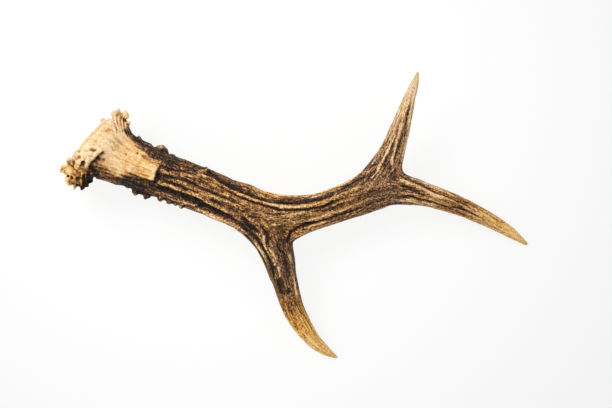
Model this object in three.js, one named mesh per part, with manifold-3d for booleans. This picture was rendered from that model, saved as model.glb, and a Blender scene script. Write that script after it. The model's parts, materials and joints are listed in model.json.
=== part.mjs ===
// A shed roe deer antler lying on a table, in millimetres, +Z up.
// It is one grown bone: a beam with its knobbed burr at the base, parted at its forks from the
// front tine, the rear tine and the top tine. It rests on the burr and two of the tine tips.
import * as THREE from 'three';
import { mergeVertices } from 'three/addons/utils/BufferGeometryUtils.js';
import Module from 'manifold-3d';

// Stations along each branch: centre x, y, z, half width across, half height.
// The beam runs from inside the burr through both forks and on into the top tine.
const BEAM_STATIONS = [
  [-95.5, 32.2, 20.0, 11.6, 11.4],
  [-90.0, 29.4, 20.0, 11.8, 11.4],
  [-84.0, 27.2, 20.1, 11.9, 11.4],
  [-76.7, 24.4, 20.3, 11.6, 11.2],
  [-66.0, 20.3, 20.6, 11.3, 10.8],
  [-54.9, 16.1, 20.8, 11.2, 10.4],
  [-42.8, 11.5, 20.8, 11.0, 10.0],
  [-26.8, 5.4, 20.5, 10.3, 9.8],
  [-8.8, 1.4, 19.8, 8.9, 9.2],
  [8.6, 1.8, 18.8, 8.2, 8.5],
  [19.8, 4.9, 17.9, 8.0, 8.2],
  [31.0, 9.2, 17.0, 8.3, 8.0],
  [44.7, 12.7, 15.8, 8.5, 7.6],
  [56.9, 11.4, 14.4, 6.8, 6.6],
  [67.8, 9.1, 12.7, 5.5, 5.7],
  [80.7, 4.7, 10.2, 4.7, 4.9],
  [92.2, -0.5, 7.5, 4.0, 4.2],
  [102.2, -5.8, 5.1, 3.2, 3.4],
  [108.4, -9.7, 3.6, 2.4, 2.6],
  [115.2, -14.4, 2.0, 0.8, 0.9],
];
const FRONT_TINE_STATIONS = [
  [-24.5, 5.6, 20.2, 9.0, 9.2],
  [-13.4, -6.2, 18.6, 8.6, 8.6],
  [-8.2, -18.5, 16.4, 7.2, 7.4],
  [-4.5, -30.7, 13.8, 6.2, 6.6],
  [-0.7, -44.1, 10.4, 5.4, 5.8],
  [3.7, -53.0, 7.8, 4.8, 5.0],
  [9.6, -61.3, 5.2, 3.6, 3.9],
  [15.5, -66.6, 3.4, 2.4, 2.6],
  [21.0, -70.2, 2.0, 0.8, 0.9],
];
const REAR_TINE_STATIONS = [
  [32.0, 8.6, 16.8, 7.6, 7.6],
  [42.2, 20.0, 17.4, 7.8, 7.2],
  [47.7, 30.6, 19.2, 6.0, 6.2],
  [51.1, 39.8, 21.5, 4.9, 5.2],
  [53.8, 48.4, 24.0, 4.0, 4.3],
  [56.0, 56.0, 26.3, 3.0, 3.2],
  [57.8, 61.2, 27.8, 2.3, 2.4],
  [59.0, 65.0, 28.8, 1.5, 1.6],
  [60.0, 68.8, 29.8, 0.5, 0.5],
];
// Webs of bone that round off the forks: before and behind the front tine, and between the upper tines.
const WEB_STATIONS = [
  [
    [-36.0, 4.4, 20.2, 5.6, 7.6],
    [-28.0, 0.2, 20.0, 5.8, 7.6],
    [-16.8, -8.4, 18.8, 5.8, 7.4],
    [-11.0, -16.0, 17.2, 5.6, 6.8],
    [-5.8, -28.2, 14.6, 5.0, 5.8],
  ],
  [
    [-3.0, -23.4, 15.2, 3.6, 5.0],
    [-4.0, -14.0, 17.2, 3.8, 5.8],
    [-1.0, -9.4, 18.0, 3.8, 6.0],
    [7.0, -5.4, 18.0, 3.8, 6.0],
    [17.6, -1.2, 17.6, 3.6, 5.6],
    [30.0, 2.6, 17.0, 3.2, 5.2],
    [42.0, 6.4, 16.0, 2.8, 4.6],
  ],
  [
    [50.2, 31.8, 19.0, 2.8, 4.4],
    [49.8, 22.9, 17.6, 2.9, 4.8],
    [52.8, 17.1, 16.2, 2.9, 4.8],
    [60.6, 13.7, 14.4, 2.8, 4.2],
  ],
];

// Facets round and along each branch.
const BEAM_SIDES = 32;
const BEAM_RINGS = 46;
const TINE_SIDES = 16;
const TINE_RINGS = 16;
const WEB_SIDES = 10;
const WEB_RINGS = 8;

// Long crests (+) and channels (-) on the upper face: points x, y, half width, height.
const UPPER_LINES = [
  { points: [[-44, 21], [-34, 16], [-22, 10], [-8, 7], [8, 6.5], [22, 11]], width: 1.7, height: -1.0 },
  { points: [[-44, 17.5], [-33, 13], [-20, 7], [-6, 4.5], [8, 4], [22, 8]], width: 1.5, height: 0.8 },
  { points: [[-66, 13.5], [-54, 10], [-42, 5], [-33, 1], [-26, -3], [-19, -9]], width: 2.1, height: -1.5 },
  { points: [[-64, 16], [-52, 13], [-43, 9], [-34, 4], [-26, 0]], width: 1.4, height: 0.7 },
  { points: [[66, 7], [78, 2], [90, -4]], width: 1.5, height: -0.7 },
];
// Low lengthwise ribs all round the beam.
const RIB_COUNT = 11;
const RIB_HEIGHT = 0.35;
const RIB_TWIST_PER_MM = 0.006;
const RIBS_START = 14;
const RIBS_END = 150;
const RIBS_FADE = 50;

// The worn plate on the upper face beside the burr ends in a step.
const PLATE_STEP = { x: -66.5, y: 18.5, reach: 5.5, height: 1.3, length: 16, lean: 0.4, sharpness: 2 };

// The burr: a collar turned about the shedding direction, flattened above and below, ending in the seal.
// Behind its middle it leans across, towards the beam. Its profile gives the collar's radius and the
// distance along the shedding direction from its middle.
const BURR = {
  centre: [-96.2, 31.8, 20.5],
  faces: [-0.763, 0.646, 0],
  squashAbove: 0.78,
  squashBelow: 0.93,
  lean: 0.346,
  segments: 28,
};
const SEAL_ALONG = 5.2;
const SEAL_RADIUS = 16;
const BURR_PROFILE = [
  [0, -14],
  [10.6, -14],
  [12.2, -10],
  [15.2, -7],
  [18.0, -4],
  [19.0, 0],
  [18.4, 3.4],
  [SEAL_RADIUS, SEAL_ALONG],
  [0, SEAL_ALONG],
];
// Two staggered rows of knobs round the collar, larger towards its two sides than above and below.
const BURR_KNOBS_PER_ROW = 12;
const BURR_ROWS = [
  { along: 1.0, radius: 17.9, offset: 0, size: 3.5 },
  { along: -3.0, radius: 16.8, offset: 0.5, size: 3.6 },
];
const KNOB_SIDE_GAIN = 0.35;
const KNOB_VARIATION = 0.12;
// Swellings that carry the collar further out on its front side: x, y, z, radius.
const BURR_LOBES = [
  [-109.4, 22.6, 22.5, 2.6],
  [-108.4, 18.8, 22.0, 3.8],
  [-103.8, 17.0, 21.0, 4.2],
  [-99.2, 17.6, 21.0, 3.6],
];

// Pearls that stand out along the edges of the lower beam: x, y, z, radius.
const EDGE_PEARLS = [
  [-85.0, 16.8, 19.0, 2.2],
  [-76.0, 11.6, 19.0, 2.2],
  [-70.5, 9.8, 18.5, 2.0],
  [-64.0, 8.4, 19.0, 2.1],
  [-59.4, 6.6, 20.0, 1.9],
  [-53.8, 5.2, 20.5, 2.0],
  [-47.6, 3.6, 20.0, 1.9],
  [-42.2, 1.4, 20.5, 1.8],
  [-74.8, 36.0, 21.5, 2.0],
  [-63.6, 31.4, 22.0, 2.2],
  [-42.4, 22.0, 21.5, 1.7],
];
// Pearls in rows on the side that lies down: distance along the beam, angle round it in degrees.
const UNDER_PEARL_ROWS = [
  { angle: 215, first: 24, last: 74, step: 12 },
  { angle: 250, first: 20, last: 66, step: 12 },
  { angle: 290, first: 24, last: 62, step: 11 },
  { angle: 325, first: 20, last: 72, step: 10 },
];
const UNDER_PEARL_SIZE = 1.9;

// Cuts across the branches just past the forks: point on the cut, and the way the tine leaves.
const FORK_CUTS = {
  front_tine: { point: [-8.4, -18.5, 16.4], leaves: [8.7, -24.0, -4.8] },
  rear_tine: { point: [47.5, 30.6, 19.2], leaves: [8.1, 19.8, 4.1] },
  top_tine: { point: [58.0, 11.8, 14.3], leaves: [23.1, -4.9, -3.0] },
};
const CUT_GAP = 0.3;
const CUT_BLOCK = { width: 60, length: 110 };

const COLOURS = {
  main_beam: 0x8a6744,
  front_tine: 0x9a7443,
  rear_tine: 0xb08d62,
  top_tine: 0xb38c58,
};

const wasm = await Module();
wasm.setup();
const UP = new THREE.Vector3(0, 0, 1);

// Turns a closed geometry into a solid that can be joined and cut.
function solidFrom(geometry) {
  const bare = geometry.clone();
  bare.deleteAttribute('normal');
  bare.deleteAttribute('uv');
  const merged = mergeVertices(bare, 1e-4);
  return new wasm.Manifold(
    new wasm.Mesh({
      numProp: 3,
      vertProperties: new Float32Array(merged.getAttribute('position').array),
      triVerts: new Uint32Array(merged.index.array),
    }),
  );
}

// Turns a solid back into a named mesh.
function meshFrom(solid, name) {
  const made = solid.getMesh();
  const geometry = new THREE.BufferGeometry();
  geometry.setAttribute('position', new THREE.BufferAttribute(made.vertProperties, 3));
  geometry.setIndex(new THREE.BufferAttribute(made.triVerts, 1));
  geometry.computeVertexNormals();
  const material = new THREE.MeshStandardMaterial({ color: COLOURS[name], roughness: 0.6, metalness: 0 });
  const mesh = new THREE.Mesh(geometry, material);
  mesh.name = name;
  return mesh;
}

// A branch's smooth centreline with its half width and half height along it.
class Branch {
  constructor(stations) {
    const centres = stations.map(([x, y, z]) => new THREE.Vector3(x, y, z));
    this.centre = new THREE.CatmullRomCurve3(centres, false, 'centripetal');
    const halves = stations.map(([, , , width, height], i) => new THREE.Vector3(width, height, i));
    this.halves = new THREE.CatmullRomCurve3(halves);
    this.length = this.centre.getLength();
  }

  // Centre, axes and half sizes at a share of the length.
  at(share) {
    const t = this.centre.getUtoTmapping(share);
    const forward = this.centre.getTangent(t);
    const across = new THREE.Vector3().crossVectors(UP, forward).normalize();
    const upward = new THREE.Vector3().crossVectors(forward, across);
    const half = this.halves.getPoint(t);
    return { centre: this.centre.getPoint(t), forward, across, upward, width: half.x, height: half.y };
  }

  // The point at an angle round the branch, with the direction out of its skin.
  skin(share, angle) {
    const { centre, across, upward, width, height } = this.at(share);
    const point = centre
      .clone()
      .addScaledVector(across, width * Math.cos(angle))
      .addScaledVector(upward, height * Math.sin(angle));
    const out = new THREE.Vector3()
      .addScaledVector(across, Math.cos(angle) / width)
      .addScaledVector(upward, Math.sin(angle) / height)
      .normalize();
    return { point, out };
  }
}

// Distance in plan from a point to a line of points.
function planDistance(point, line) {
  let nearest = Infinity;
  for (let i = 0; i + 1 < line.length; i += 1) {
    const [ax, ay] = line[i];
    const [bx, by] = line[i + 1];
    const lengthSquared = (bx - ax) ** 2 + (by - ay) ** 2;
    const along = ((point.x - ax) * (bx - ax) + (point.y - ay) * (by - ay)) / lengthSquared;
    const t = THREE.MathUtils.clamp(along, 0, 1);
    nearest = Math.min(nearest, Math.hypot(point.x - ax - t * (bx - ax), point.y - ay - t * (by - ay)));
  }
  return nearest;
}

// Height of the crests and channels of the upper face at a point of the skin.
function upperRelief(point, out) {
  const facing = THREE.MathUtils.smoothstep(out.z, 0, 0.5);
  let raised = 0;
  for (const { points, width, height } of UPPER_LINES) {
    raised += height * Math.exp(-((planDistance(point, points) / width) ** 2));
  }
  return raised * facing;
}

// Height of the low ribs that run the length of the beam.
function ribRelief(distance, angle) {
  const fade =
    THREE.MathUtils.smoothstep(distance, RIBS_START, 2 * RIBS_START) *
    (1 - THREE.MathUtils.smoothstep(distance, RIBS_END, RIBS_END + RIBS_FADE));
  return RIB_HEIGHT * fade * Math.cos(RIB_COUNT * (angle + RIB_TWIST_PER_MM * distance));
}

// Height of the worn plate beside the burr, which stops short in a step.
function plateRelief(point, out) {
  const { x, y, reach, height, length, lean, sharpness } = PLATE_STEP;
  const facing = THREE.MathUtils.smoothstep(out.z, 0.2, 0.6);
  const back = x - point.x;
  const risen = THREE.MathUtils.smoothstep(back, 0, sharpness);
  const fading = 1 - THREE.MathUtils.smoothstep(back, length / 4, length);
  const sideways = Math.abs(point.y - y - lean * back);
  const beside = 1 - THREE.MathUtils.smoothstep(sideways, reach - sharpness, reach);
  return height * facing * risen * fading * beside;
}

// A cylinder drawn along a branch, with every vertex moved on to the branch's skin.
function branchSolid(branch, sides, rings, relief) {
  const geometry = new THREE.CylinderGeometry(1, 1, 1, sides, rings);
  const position = geometry.getAttribute('position');
  for (let i = 0; i < position.count; i += 1) {
    const share = position.getY(i) + 0.5;
    const reach = Math.min(1, Math.hypot(position.getX(i), position.getZ(i)));
    const angle = Math.atan2(position.getX(i), position.getZ(i));
    const { point, out } = branch.skin(share, angle);
    point.addScaledVector(out, relief(point, out, share * branch.length, angle));
    const placed = branch.at(share).centre.lerp(point, reach);
    position.setXYZ(i, placed.x, placed.y, placed.z);
  }
  return solidFrom(geometry);
}

// A rounded lump of bone.
function lump(centre, radius, detail) {
  const geometry = new THREE.IcosahedronGeometry(radius, detail);
  geometry.translate(centre.x, centre.y, centre.z);
  return solidFrom(geometry);
}

// Stands a shape turned about +Z at the foot of the beam, leaning and flattened as the burr is.
function placedAtBurr(geometry) {
  const facing = new THREE.Vector3(...BURR.faces).normalize();
  const across = new THREE.Vector3().crossVectors(UP, facing);
  const position = geometry.getAttribute('position');
  for (let i = 0; i < position.count; i += 1) {
    const height = position.getY(i);
    const squash = height > 0 ? BURR.squashAbove : BURR.squashBelow;
    position.setX(i, position.getX(i) + BURR.lean * Math.min(position.getZ(i), 0));
    position.setY(i, height * squash);
  }
  geometry.applyMatrix4(new THREE.Matrix4().makeBasis(across, UP, facing));
  geometry.translate(...BURR.centre);
  return solidFrom(geometry);
}

// The collar of the burr, without its knobs.
function burrCollar() {
  const outline = BURR_PROFILE.map(([radius, along]) => new THREE.Vector2(radius, along));
  const geometry = new THREE.LatheGeometry(outline, BURR.segments);
  geometry.rotateX(Math.PI / 2);
  return placedAtBurr(geometry);
}

// The knobs in their rows round the collar.
function burrKnobs() {
  const knobs = [];
  BURR_ROWS.forEach(({ along, radius, offset, size }, row) => {
    for (let i = 0; i < BURR_KNOBS_PER_ROW; i += 1) {
      const angle = (2 * Math.PI * (i + offset)) / BURR_KNOBS_PER_ROW;
      const sideways = KNOB_SIDE_GAIN * (Math.cos(angle) ** 2 - 0.5);
      const knob = size * (1 + sideways + KNOB_VARIATION * Math.sin(2.4 * i + row));
      const geometry = new THREE.IcosahedronGeometry(knob, 1);
      geometry.translate(radius * Math.cos(angle), radius * Math.sin(angle), along);
      knobs.push(placedAtBurr(geometry));
    }
  });
  return knobs;
}

// The burr's swellings, and pearls along the edges of the lower beam and on the side that lies down.
function lumps(beam) {
  const shown = [...BURR_LOBES, ...EDGE_PEARLS];
  const made = shown.map(([x, y, z, radius]) => lump(new THREE.Vector3(x, y, z), radius, 1));
  for (const { angle, first, last, step } of UNDER_PEARL_ROWS) {
    for (let distance = first; distance <= last; distance += step) {
      const { point } = beam.skin(distance / beam.length, THREE.MathUtils.degToRad(angle));
      made.push(lump(point, UNDER_PEARL_SIZE, 0));
    }
  }
  return made;
}

// The half space beyond a fork cut, as a block that reaches past the tine's tip.
function blockBeyond({ point, leaves }, setback) {
  const direction = new THREE.Vector3(...leaves).normalize();
  const geometry = new THREE.BoxGeometry(CUT_BLOCK.width, CUT_BLOCK.width, CUT_BLOCK.length);
  geometry.translate(0, 0, CUT_BLOCK.length / 2 + setback);
  geometry.applyQuaternion(new THREE.Quaternion().setFromUnitVectors(UP, direction));
  geometry.translate(...point);
  return solidFrom(geometry);
}

// The whole grown bone in one solid.
function wholeAntler() {
  const beam = new Branch(BEAM_STATIONS);
  const beamRelief = (point, out, distance, angle) =>
    upperRelief(point, out) + ribRelief(distance, angle) + plateRelief(point, out);
  const smooth = () => 0;
  const grown = [burrCollar(), ...burrKnobs(), ...lumps(beam)];
  for (const stations of [FRONT_TINE_STATIONS, REAR_TINE_STATIONS]) {
    grown.push(branchSolid(new Branch(stations), TINE_SIDES, TINE_RINGS, smooth));
  }
  for (const stations of WEB_STATIONS) {
    grown.push(branchSolid(new Branch(stations), WEB_SIDES, WEB_RINGS, smooth));
  }
  const bareBeam = branchSolid(beam, BEAM_SIDES, BEAM_RINGS, beamRelief);
  return grown.reduce((joined, piece) => joined.add(piece), bareBeam);
}

const antler = new THREE.Group();
const whole = wholeAntler();
let beamPart = whole;
for (const [name, cut] of Object.entries(FORK_CUTS)) {
  antler.add(meshFrom(whole.intersect(blockBeyond(cut, CUT_GAP / 2)), name));
  beamPart = beamPart.subtract(blockBeyond(cut, -CUT_GAP / 2));
}
antler.add(meshFrom(beamPart, 'main_beam'));

// The antler stands on z = 0 with the middle of its plan at the origin.
const box = new THREE.Box3().setFromObject(antler);
const middle = box.getCenter(new THREE.Vector3());
antler.position.set(-middle.x, -middle.y, -box.min.z);

export default antler;
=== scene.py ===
"""Looks of a shed roe deer antler that lies on a pale table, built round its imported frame.

Lengths are in millimetres until a mesh is made, and metres in Blender. The antler is modelled as one grown
bone, sculpted and stained all over, and then parted at its forks into the pieces that the frame has.
"""

import json
import logging
import math
from dataclasses import dataclass, field
from enum import Enum

import bpy
import numpy as np
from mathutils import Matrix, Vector

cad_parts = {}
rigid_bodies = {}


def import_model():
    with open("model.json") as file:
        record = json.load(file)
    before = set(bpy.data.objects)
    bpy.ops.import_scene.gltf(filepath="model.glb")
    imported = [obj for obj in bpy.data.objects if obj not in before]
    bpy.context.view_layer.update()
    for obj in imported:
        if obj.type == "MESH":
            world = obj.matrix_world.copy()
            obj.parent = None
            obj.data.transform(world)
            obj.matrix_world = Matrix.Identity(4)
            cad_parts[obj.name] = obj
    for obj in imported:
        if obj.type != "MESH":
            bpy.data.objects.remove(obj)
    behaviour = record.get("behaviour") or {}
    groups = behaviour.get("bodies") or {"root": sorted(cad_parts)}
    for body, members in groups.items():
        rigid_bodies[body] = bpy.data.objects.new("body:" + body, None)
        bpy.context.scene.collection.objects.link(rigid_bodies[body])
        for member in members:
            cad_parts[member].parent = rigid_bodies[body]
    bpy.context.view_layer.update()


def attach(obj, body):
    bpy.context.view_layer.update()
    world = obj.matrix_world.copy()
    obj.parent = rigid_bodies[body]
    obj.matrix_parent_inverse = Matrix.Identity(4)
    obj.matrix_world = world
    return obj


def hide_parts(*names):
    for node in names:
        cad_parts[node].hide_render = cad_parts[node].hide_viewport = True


LOG = logging.getLogger("antler")
Array = np.ndarray
MM = 0.001
WHITE = (1.0, 1.0, 1.0, 1.0)

# The frame has its origin under the middle of the antler. The stations below are measured from this point.
STATION_ORIGIN = np.array((-1.615, 0.95, -0.87))
# The eye above the antler, from where its upper face was drawn, in the stations' frame.
EYE = np.array((6.2, 5.4, 1000.0))
# Width of the table that the picture takes in.
VIEW_WIDTH = 302.94


class BonePiece(Enum):
    """A piece of the antler: the frame's node that it stands for, and the name of a material slot, which
    nothing uses.
    """

    MAIN_BEAM = ("main_beam", "beam_bone")
    FRONT_TINE = ("front_tine", "tine_bone")
    REAR_TINE = ("rear_tine", "tine_bone")
    TOP_TINE = ("top_tine", "tine_bone")

    @property
    def node(self) -> str:
        """Name of the frame's node."""
        return self.value[0]

    @property
    def slot(self) -> str:
        """Name of a material slot; not used."""
        return self.value[1]


def smooth_step(value: Array, low: float, high: float) -> Array:
    """Rises smoothly from 0 at low to 1 at high.

    Args:
        value: Values to map.
        low: Value that gives 0.
        high: Value that gives 1.

    Returns:
        The mapped values.
    """
    share = np.clip((value - low) / (high - low), 0.0, 1.0)
    return share * share * (3.0 - 2.0 * share)


def smooth_union(first: Array, second: Array, radius: float) -> Array:
    """Joins two distance fields with a rounded inside corner.

    Args:
        first: Signed distances to one form.
        second: Signed distances to the other form.
        radius: How far the rounding reaches, in millimetres.

    Returns:
        Signed distances to the joined form.
    """
    near = np.maximum(radius - np.abs(first - second), 0.0) / radius
    return np.minimum(first, second) - near * near * radius / 4.0


def smooth_path(points: Array, steps: int) -> Array:
    """Draws a smooth curve through points.

    Args:
        points: Points in order, one row each, with any number of columns.
        steps: Samples in each span.

    Returns:
        The samples along the curve, the last point included.
    """
    padded = np.vstack((2 * points[0] - points[1], points, 2 * points[-1] - points[-2]))
    share = np.linspace(0.0, 1.0, steps, endpoint=False)[:, None]
    spans = []
    for before, start, end, after in zip(padded, padded[1:], padded[2:], padded[3:]):
        spans.append(
            0.5
            * (
                2 * start
                + (end - before) * share
                + (2 * before - 5 * start + 4 * end - after) * share**2
                + (3 * start - before - 3 * end + after) * share**3
            )
        )
    return np.vstack((*spans, points[-1:]))


def lattice_noise(points: Array, seed: int) -> Array:
    """Smooth noise from -1 to 1 with one value to each cell of a lattice.

    Args:
        points: Places in lattice cells, one row each.
        seed: Picks the pattern.

    Returns:
        The noise at each place.
    """
    cell = np.floor(points).astype(np.int64)
    share = points - cell
    share = share * share * (3.0 - 2.0 * share)
    total = np.zeros(len(points))
    for corner in np.ndindex(2, 2, 2):
        key = (cell + corner) @ np.array((73856093, 19349663, 83492791), np.int64) + seed * 374761393
        key = (key ^ (key >> 13)) * 1274126177 & 0x7FFFFFFF
        key = (key ^ (key >> 16)) * 668265263 & 0x7FFFFFFF
        weight = np.prod(np.where(np.array(corner) == 1, share, 1.0 - share), axis=1)
        total += weight * (key / 0x3FFFFFFF - 1.0)
    return total


def lowest(piece: bpy.types.Object) -> float:
    """Height of a piece's lowest vertex over the table, in millimetres."""
    return min(vertex.co.z for vertex in piece.data.vertices) / MM


def seen_from_eye(points: Array) -> Array:
    """Where the eye above sees points against the table, from the foot of its axis.

    Args:
        points: Places in the stations' frame, one row each.

    Returns:
        Two columns of millimetres on the table.
    """
    rising = 1.0 - points[:, 2] / EYE[2]
    return (points[:, :2] - EYE[:2]) / rising[:, None]


@dataclass(frozen=True)
class Reading:
    """How a set of points lies against one branch.

    Attributes:
        distance: Signed distance to the branch's skin, in millimetres.
        along: Distance along the branch from its root.
        angle: Angle round the branch, from its left side over its top.
        tone: The branch's own darkness there, from 0 for cream to 1 for black.
        honey: How golden the bone is there, from 0 for greyish to 1 for honey.
    """

    distance: Array
    along: Array
    angle: Array
    tone: Array
    honey: Array


@dataclass(frozen=True)
class Branch:
    """A tapering branch of bone with an oval section.

    Attributes:
        name: What the branch is.
        stations: Centre x, y, z, half width, half height, tone and honey at places along it.
        steps: Samples of the centreline between two stations.
    """

    name: str
    stations: tuple[tuple[float, ...], ...]
    steps: int = 14

    def samples(self) -> Array:
        """Stations filled in along the smooth centreline, one row each."""
        return smooth_path(np.array(self.stations), self.steps)

    def read(self, points: Array) -> Reading:
        """Measures points against the branch.

        Args:
            points: Places in the stations' frame, one row each.

        Returns:
            The reading at each place.
        """
        line = self.samples()
        centre = line[:, :3]
        forward = np.gradient(centre, axis=0)
        forward /= np.linalg.norm(forward, axis=1, keepdims=True)
        across = np.cross((0.0, 0.0, 1.0), forward)
        across /= np.linalg.norm(across, axis=1, keepdims=True)
        upward = np.cross(forward, across)
        steps = np.linalg.norm(np.diff(centre, axis=0), axis=1)
        along = np.concatenate(((0.0,), np.cumsum(steps)))
        gap = (centre**2).sum(1)[None, :] - 2.0 * points @ centre.T
        nearest = gap.argmin(axis=1)
        offset = points - centre[nearest]
        ahead = np.einsum("ij,ij->i", offset, forward[nearest])
        left = np.einsum("ij,ij->i", offset, across[nearest])
        top = np.einsum("ij,ij->i", offset, upward[nearest])
        width, height = line[nearest, 3], line[nearest, 4]
        past_end = ((nearest == 0) & (ahead < 0)) | ((nearest == len(line) - 1) & (ahead > 0))
        beyond = np.where(past_end, ahead, 0.0)
        reach = np.sqrt(left**2 + top**2 + beyond**2)
        share = np.sqrt((left / width) ** 2 + (top / height) ** 2 + (beyond / width) ** 2)
        distance = reach - reach / np.maximum(share, 1e-6)
        distance = np.where(share < 1e-6, -np.minimum(width, height), distance)
        tone, honey = line[nearest, 5], line[nearest, 6]
        return Reading(distance, along[nearest] + ahead, np.arctan2(top, left), tone, honey)


@dataclass(frozen=True)
class Burr:
    """The knobbed collar at the antler's foot, which ends in the seal.

    Attributes:
        centre: Middle of the collar.
        facing: Direction in which the antler was shed.
        seal: Distance from the middle to the seal, along the facing direction.
        near_squash: Height of the collar over its width, on the side that lies up.
        under_squash: The same on the side that lies down.
        lean: How far the collar's middle shifts across, for each millimetre behind the centre.
        profile: Distance along the facing direction, rising, and the collar's radius there.
        under_knobs: How many knobs the hidden half of the collar has in each of its two rows.
        under_size: Radius of a hidden knob.
        under_rows: Distance of each row along the facing direction, and its ring's radius.
        under_arc: Start of a row and its length, in half turns.
    """

    centre: tuple[float, float, float]
    facing: tuple[float, float]
    seal: float
    near_squash: float
    under_squash: float
    lean: float
    profile: tuple[tuple[float, float], ...]
    under_knobs: int = 13
    under_size: float = 2.1
    under_rows: tuple[tuple[float, float], ...] = ((2.6, 18.6), (-1.8, 18.4))
    under_arc: tuple[float, float] = (0.98, 1.04)

    def axes(self) -> tuple[Array, Array]:
        """The facing direction and the level direction across the collar."""
        facing = np.array((*self.facing, 0.0))
        facing /= np.linalg.norm(facing)
        return facing, np.cross((0.0, 0.0, 1.0), facing)

    def hidden_knobs(self) -> Array:
        """Centre and radius of the knobs in two rows round the lower half of the collar."""
        facing, across = self.axes()
        knobs = []
        start, length = self.under_arc
        for row, (along, ring) in enumerate(self.under_rows):
            for turn in range(self.under_knobs):
                angle = math.pi * (start + length * (turn + 0.5 * row) / self.under_knobs)
                radius = self.under_size * (1.0 + 0.2 * math.sin(2.4 * turn + row))
                spot = np.array(self.centre) + facing * along + across * ring * math.cos(angle)
                spot[2] += ring * self.under_squash * math.sin(angle)
                knobs.append((*spot, radius))
        return np.array(knobs)

    def collar(self, points: Array) -> Array:
        """Signed distance to the collar without its knobs.

        Args:
            points: Places in the stations' frame, one row each.

        Returns:
            The distance at each place.
        """
        facing, across = self.axes()
        offset = points - np.array(self.centre)
        along = offset @ facing
        squash = np.where(offset[:, 2] > 0.0, self.near_squash, self.under_squash)
        aside = offset @ across - self.lean * np.minimum(along, 0.0)
        radius = np.hypot(aside, offset[:, 2] / squash)
        steps, radii = smooth_path(np.array(self.profile), 8).T
        side = 0.8 * (radius - np.interp(along, steps, radii))
        return np.maximum.reduce((side, along - steps[-1], steps[0] - along))

    def before_seal(self, points: Array) -> Array:
        """Distance by which points lie before the seal, below 0 on the antler's side of it."""
        facing, _ = self.axes()
        return (points - np.array(self.centre)) @ facing - self.seal


@dataclass(frozen=True)
class Stroke:
    """A crest, groove or stain drawn on the upper face, or a patch of painted shade, as the eye above sees
    it.

    Attributes:
        name: What the mark is.
        points: Places on the table behind the mark, from the foot of the eye's axis.
        width: Half width.
        height: Height of a crest, or depth of a groove below 0.
        tone: How much darker the mark is than the bone round it, or paler below 0.
    """

    name: str
    points: tuple[tuple[float, float], ...]
    width: float
    height: float
    tone: float

    def strength(self, seen: Array) -> Array:
        """How strongly the mark shows at each place.

        Args:
            seen: Places on the table, one row each.

        Returns:
            From 0 away from the mark to 1 on its middle line, fading out at its ends.
        """
        line = smooth_path(np.array(self.points), 6)
        low, high = line.min(axis=0) - 3 * self.width, line.max(axis=0) + 3 * self.width
        close = np.flatnonzero(((seen > low) & (seen < high)).all(axis=1))
        spots = seen[close]
        best = np.full(len(spots), np.inf)
        place = np.zeros(len(spots))
        for index, (start, end) in enumerate(zip(line, line[1:])):
            run = end - start
            share = np.clip((spots - start) @ run / max(run @ run, 1e-9), 0.0, 1.0)
            gap = np.linalg.norm(spots - start - share[:, None] * run, axis=1)
            place = np.where(gap < best, index + share, place)
            best = np.minimum(best, gap)
        place /= len(line) - 1
        taper = smooth_step(np.minimum(place, 1.0 - place), -0.04, 0.16)
        shown = np.zeros(len(seen))
        shown[close] = np.exp(-((best / (self.width * (0.55 + 0.45 * taper))) ** 2)) * taper
        return shown


BEAM = Branch(
    "beam and top tine",
    (
        (-95.5, 32.6, 20.0, 11.2, 11.4, 0.55, 0.5),
        (-90.0, 29.8, 20.0, 11.3, 11.4, 0.62, 0.5),
        (-84.0, 27.4, 20.1, 11.6, 11.4, 0.66, 0.4),
        (-76.7, 24.4, 20.3, 11.6, 11.2, 0.76, 0.35),
        (-66.0, 20.3, 20.6, 11.2, 10.8, 0.75, 0.3),
        (-54.9, 16.1, 20.8, 11.0, 10.4, 0.66, 0.35),
        (-42.8, 11.5, 20.8, 10.8, 10.0, 0.58, 0.45),
        (-26.8, 5.4, 20.5, 10.2, 9.8, 0.50, 0.55),
        (-8.8, 1.4, 19.8, 8.8, 9.2, 0.49, 0.55),
        (8.6, 1.8, 18.8, 8.1, 8.5, 0.54, 0.5),
        (19.8, 4.9, 17.9, 7.9, 8.2, 0.58, 0.4),
        (31.0, 9.2, 17.0, 8.2, 8.0, 0.62, 0.3),
        (44.7, 12.7, 15.8, 8.4, 7.6, 0.62, 0.15),
        (56.9, 11.4, 14.4, 6.7, 6.6, 0.56, 0.3),
        (67.8, 9.1, 12.7, 5.4, 5.7, 0.51, 0.45),
        (80.7, 4.7, 10.2, 4.6, 4.9, 0.53, 0.6),
        (92.2, -0.5, 7.5, 3.9, 4.2, 0.34, 0.75),
        (102.2, -5.8, 5.1, 3.1, 3.4, 0.25, 0.85),
        (108.4, -9.7, 3.6, 2.3, 2.6, 0.20, 0.85),
        (115.0, -14.3, 2.0, 0.8, 0.9, 0.16, 0.85),
    ),
)
FRONT_TINE = Branch(
    "front tine",
    (
        (-24.5, 5.6, 20.2, 9.0, 9.2, 0.56, 0.5),
        (-13.4, -6.2, 18.6, 8.6, 8.6, 0.62, 0.4),
        (-8.2, -18.5, 16.4, 7.2, 7.4, 0.66, 0.3),
        (-4.5, -30.7, 13.8, 6.2, 6.6, 0.68, 0.35),
        (-0.7, -44.1, 10.4, 5.4, 5.8, 0.50, 0.8),
        (3.7, -53.0, 7.8, 4.8, 5.0, 0.31, 1),
        (9.6, -61.3, 5.2, 3.6, 3.9, 0.21, 1),
        (15.5, -66.6, 3.4, 2.4, 2.6, 0.18, 1),
        (20.8, -70.1, 2.0, 0.8, 0.9, 0.20, 1),
    ),
)
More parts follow.
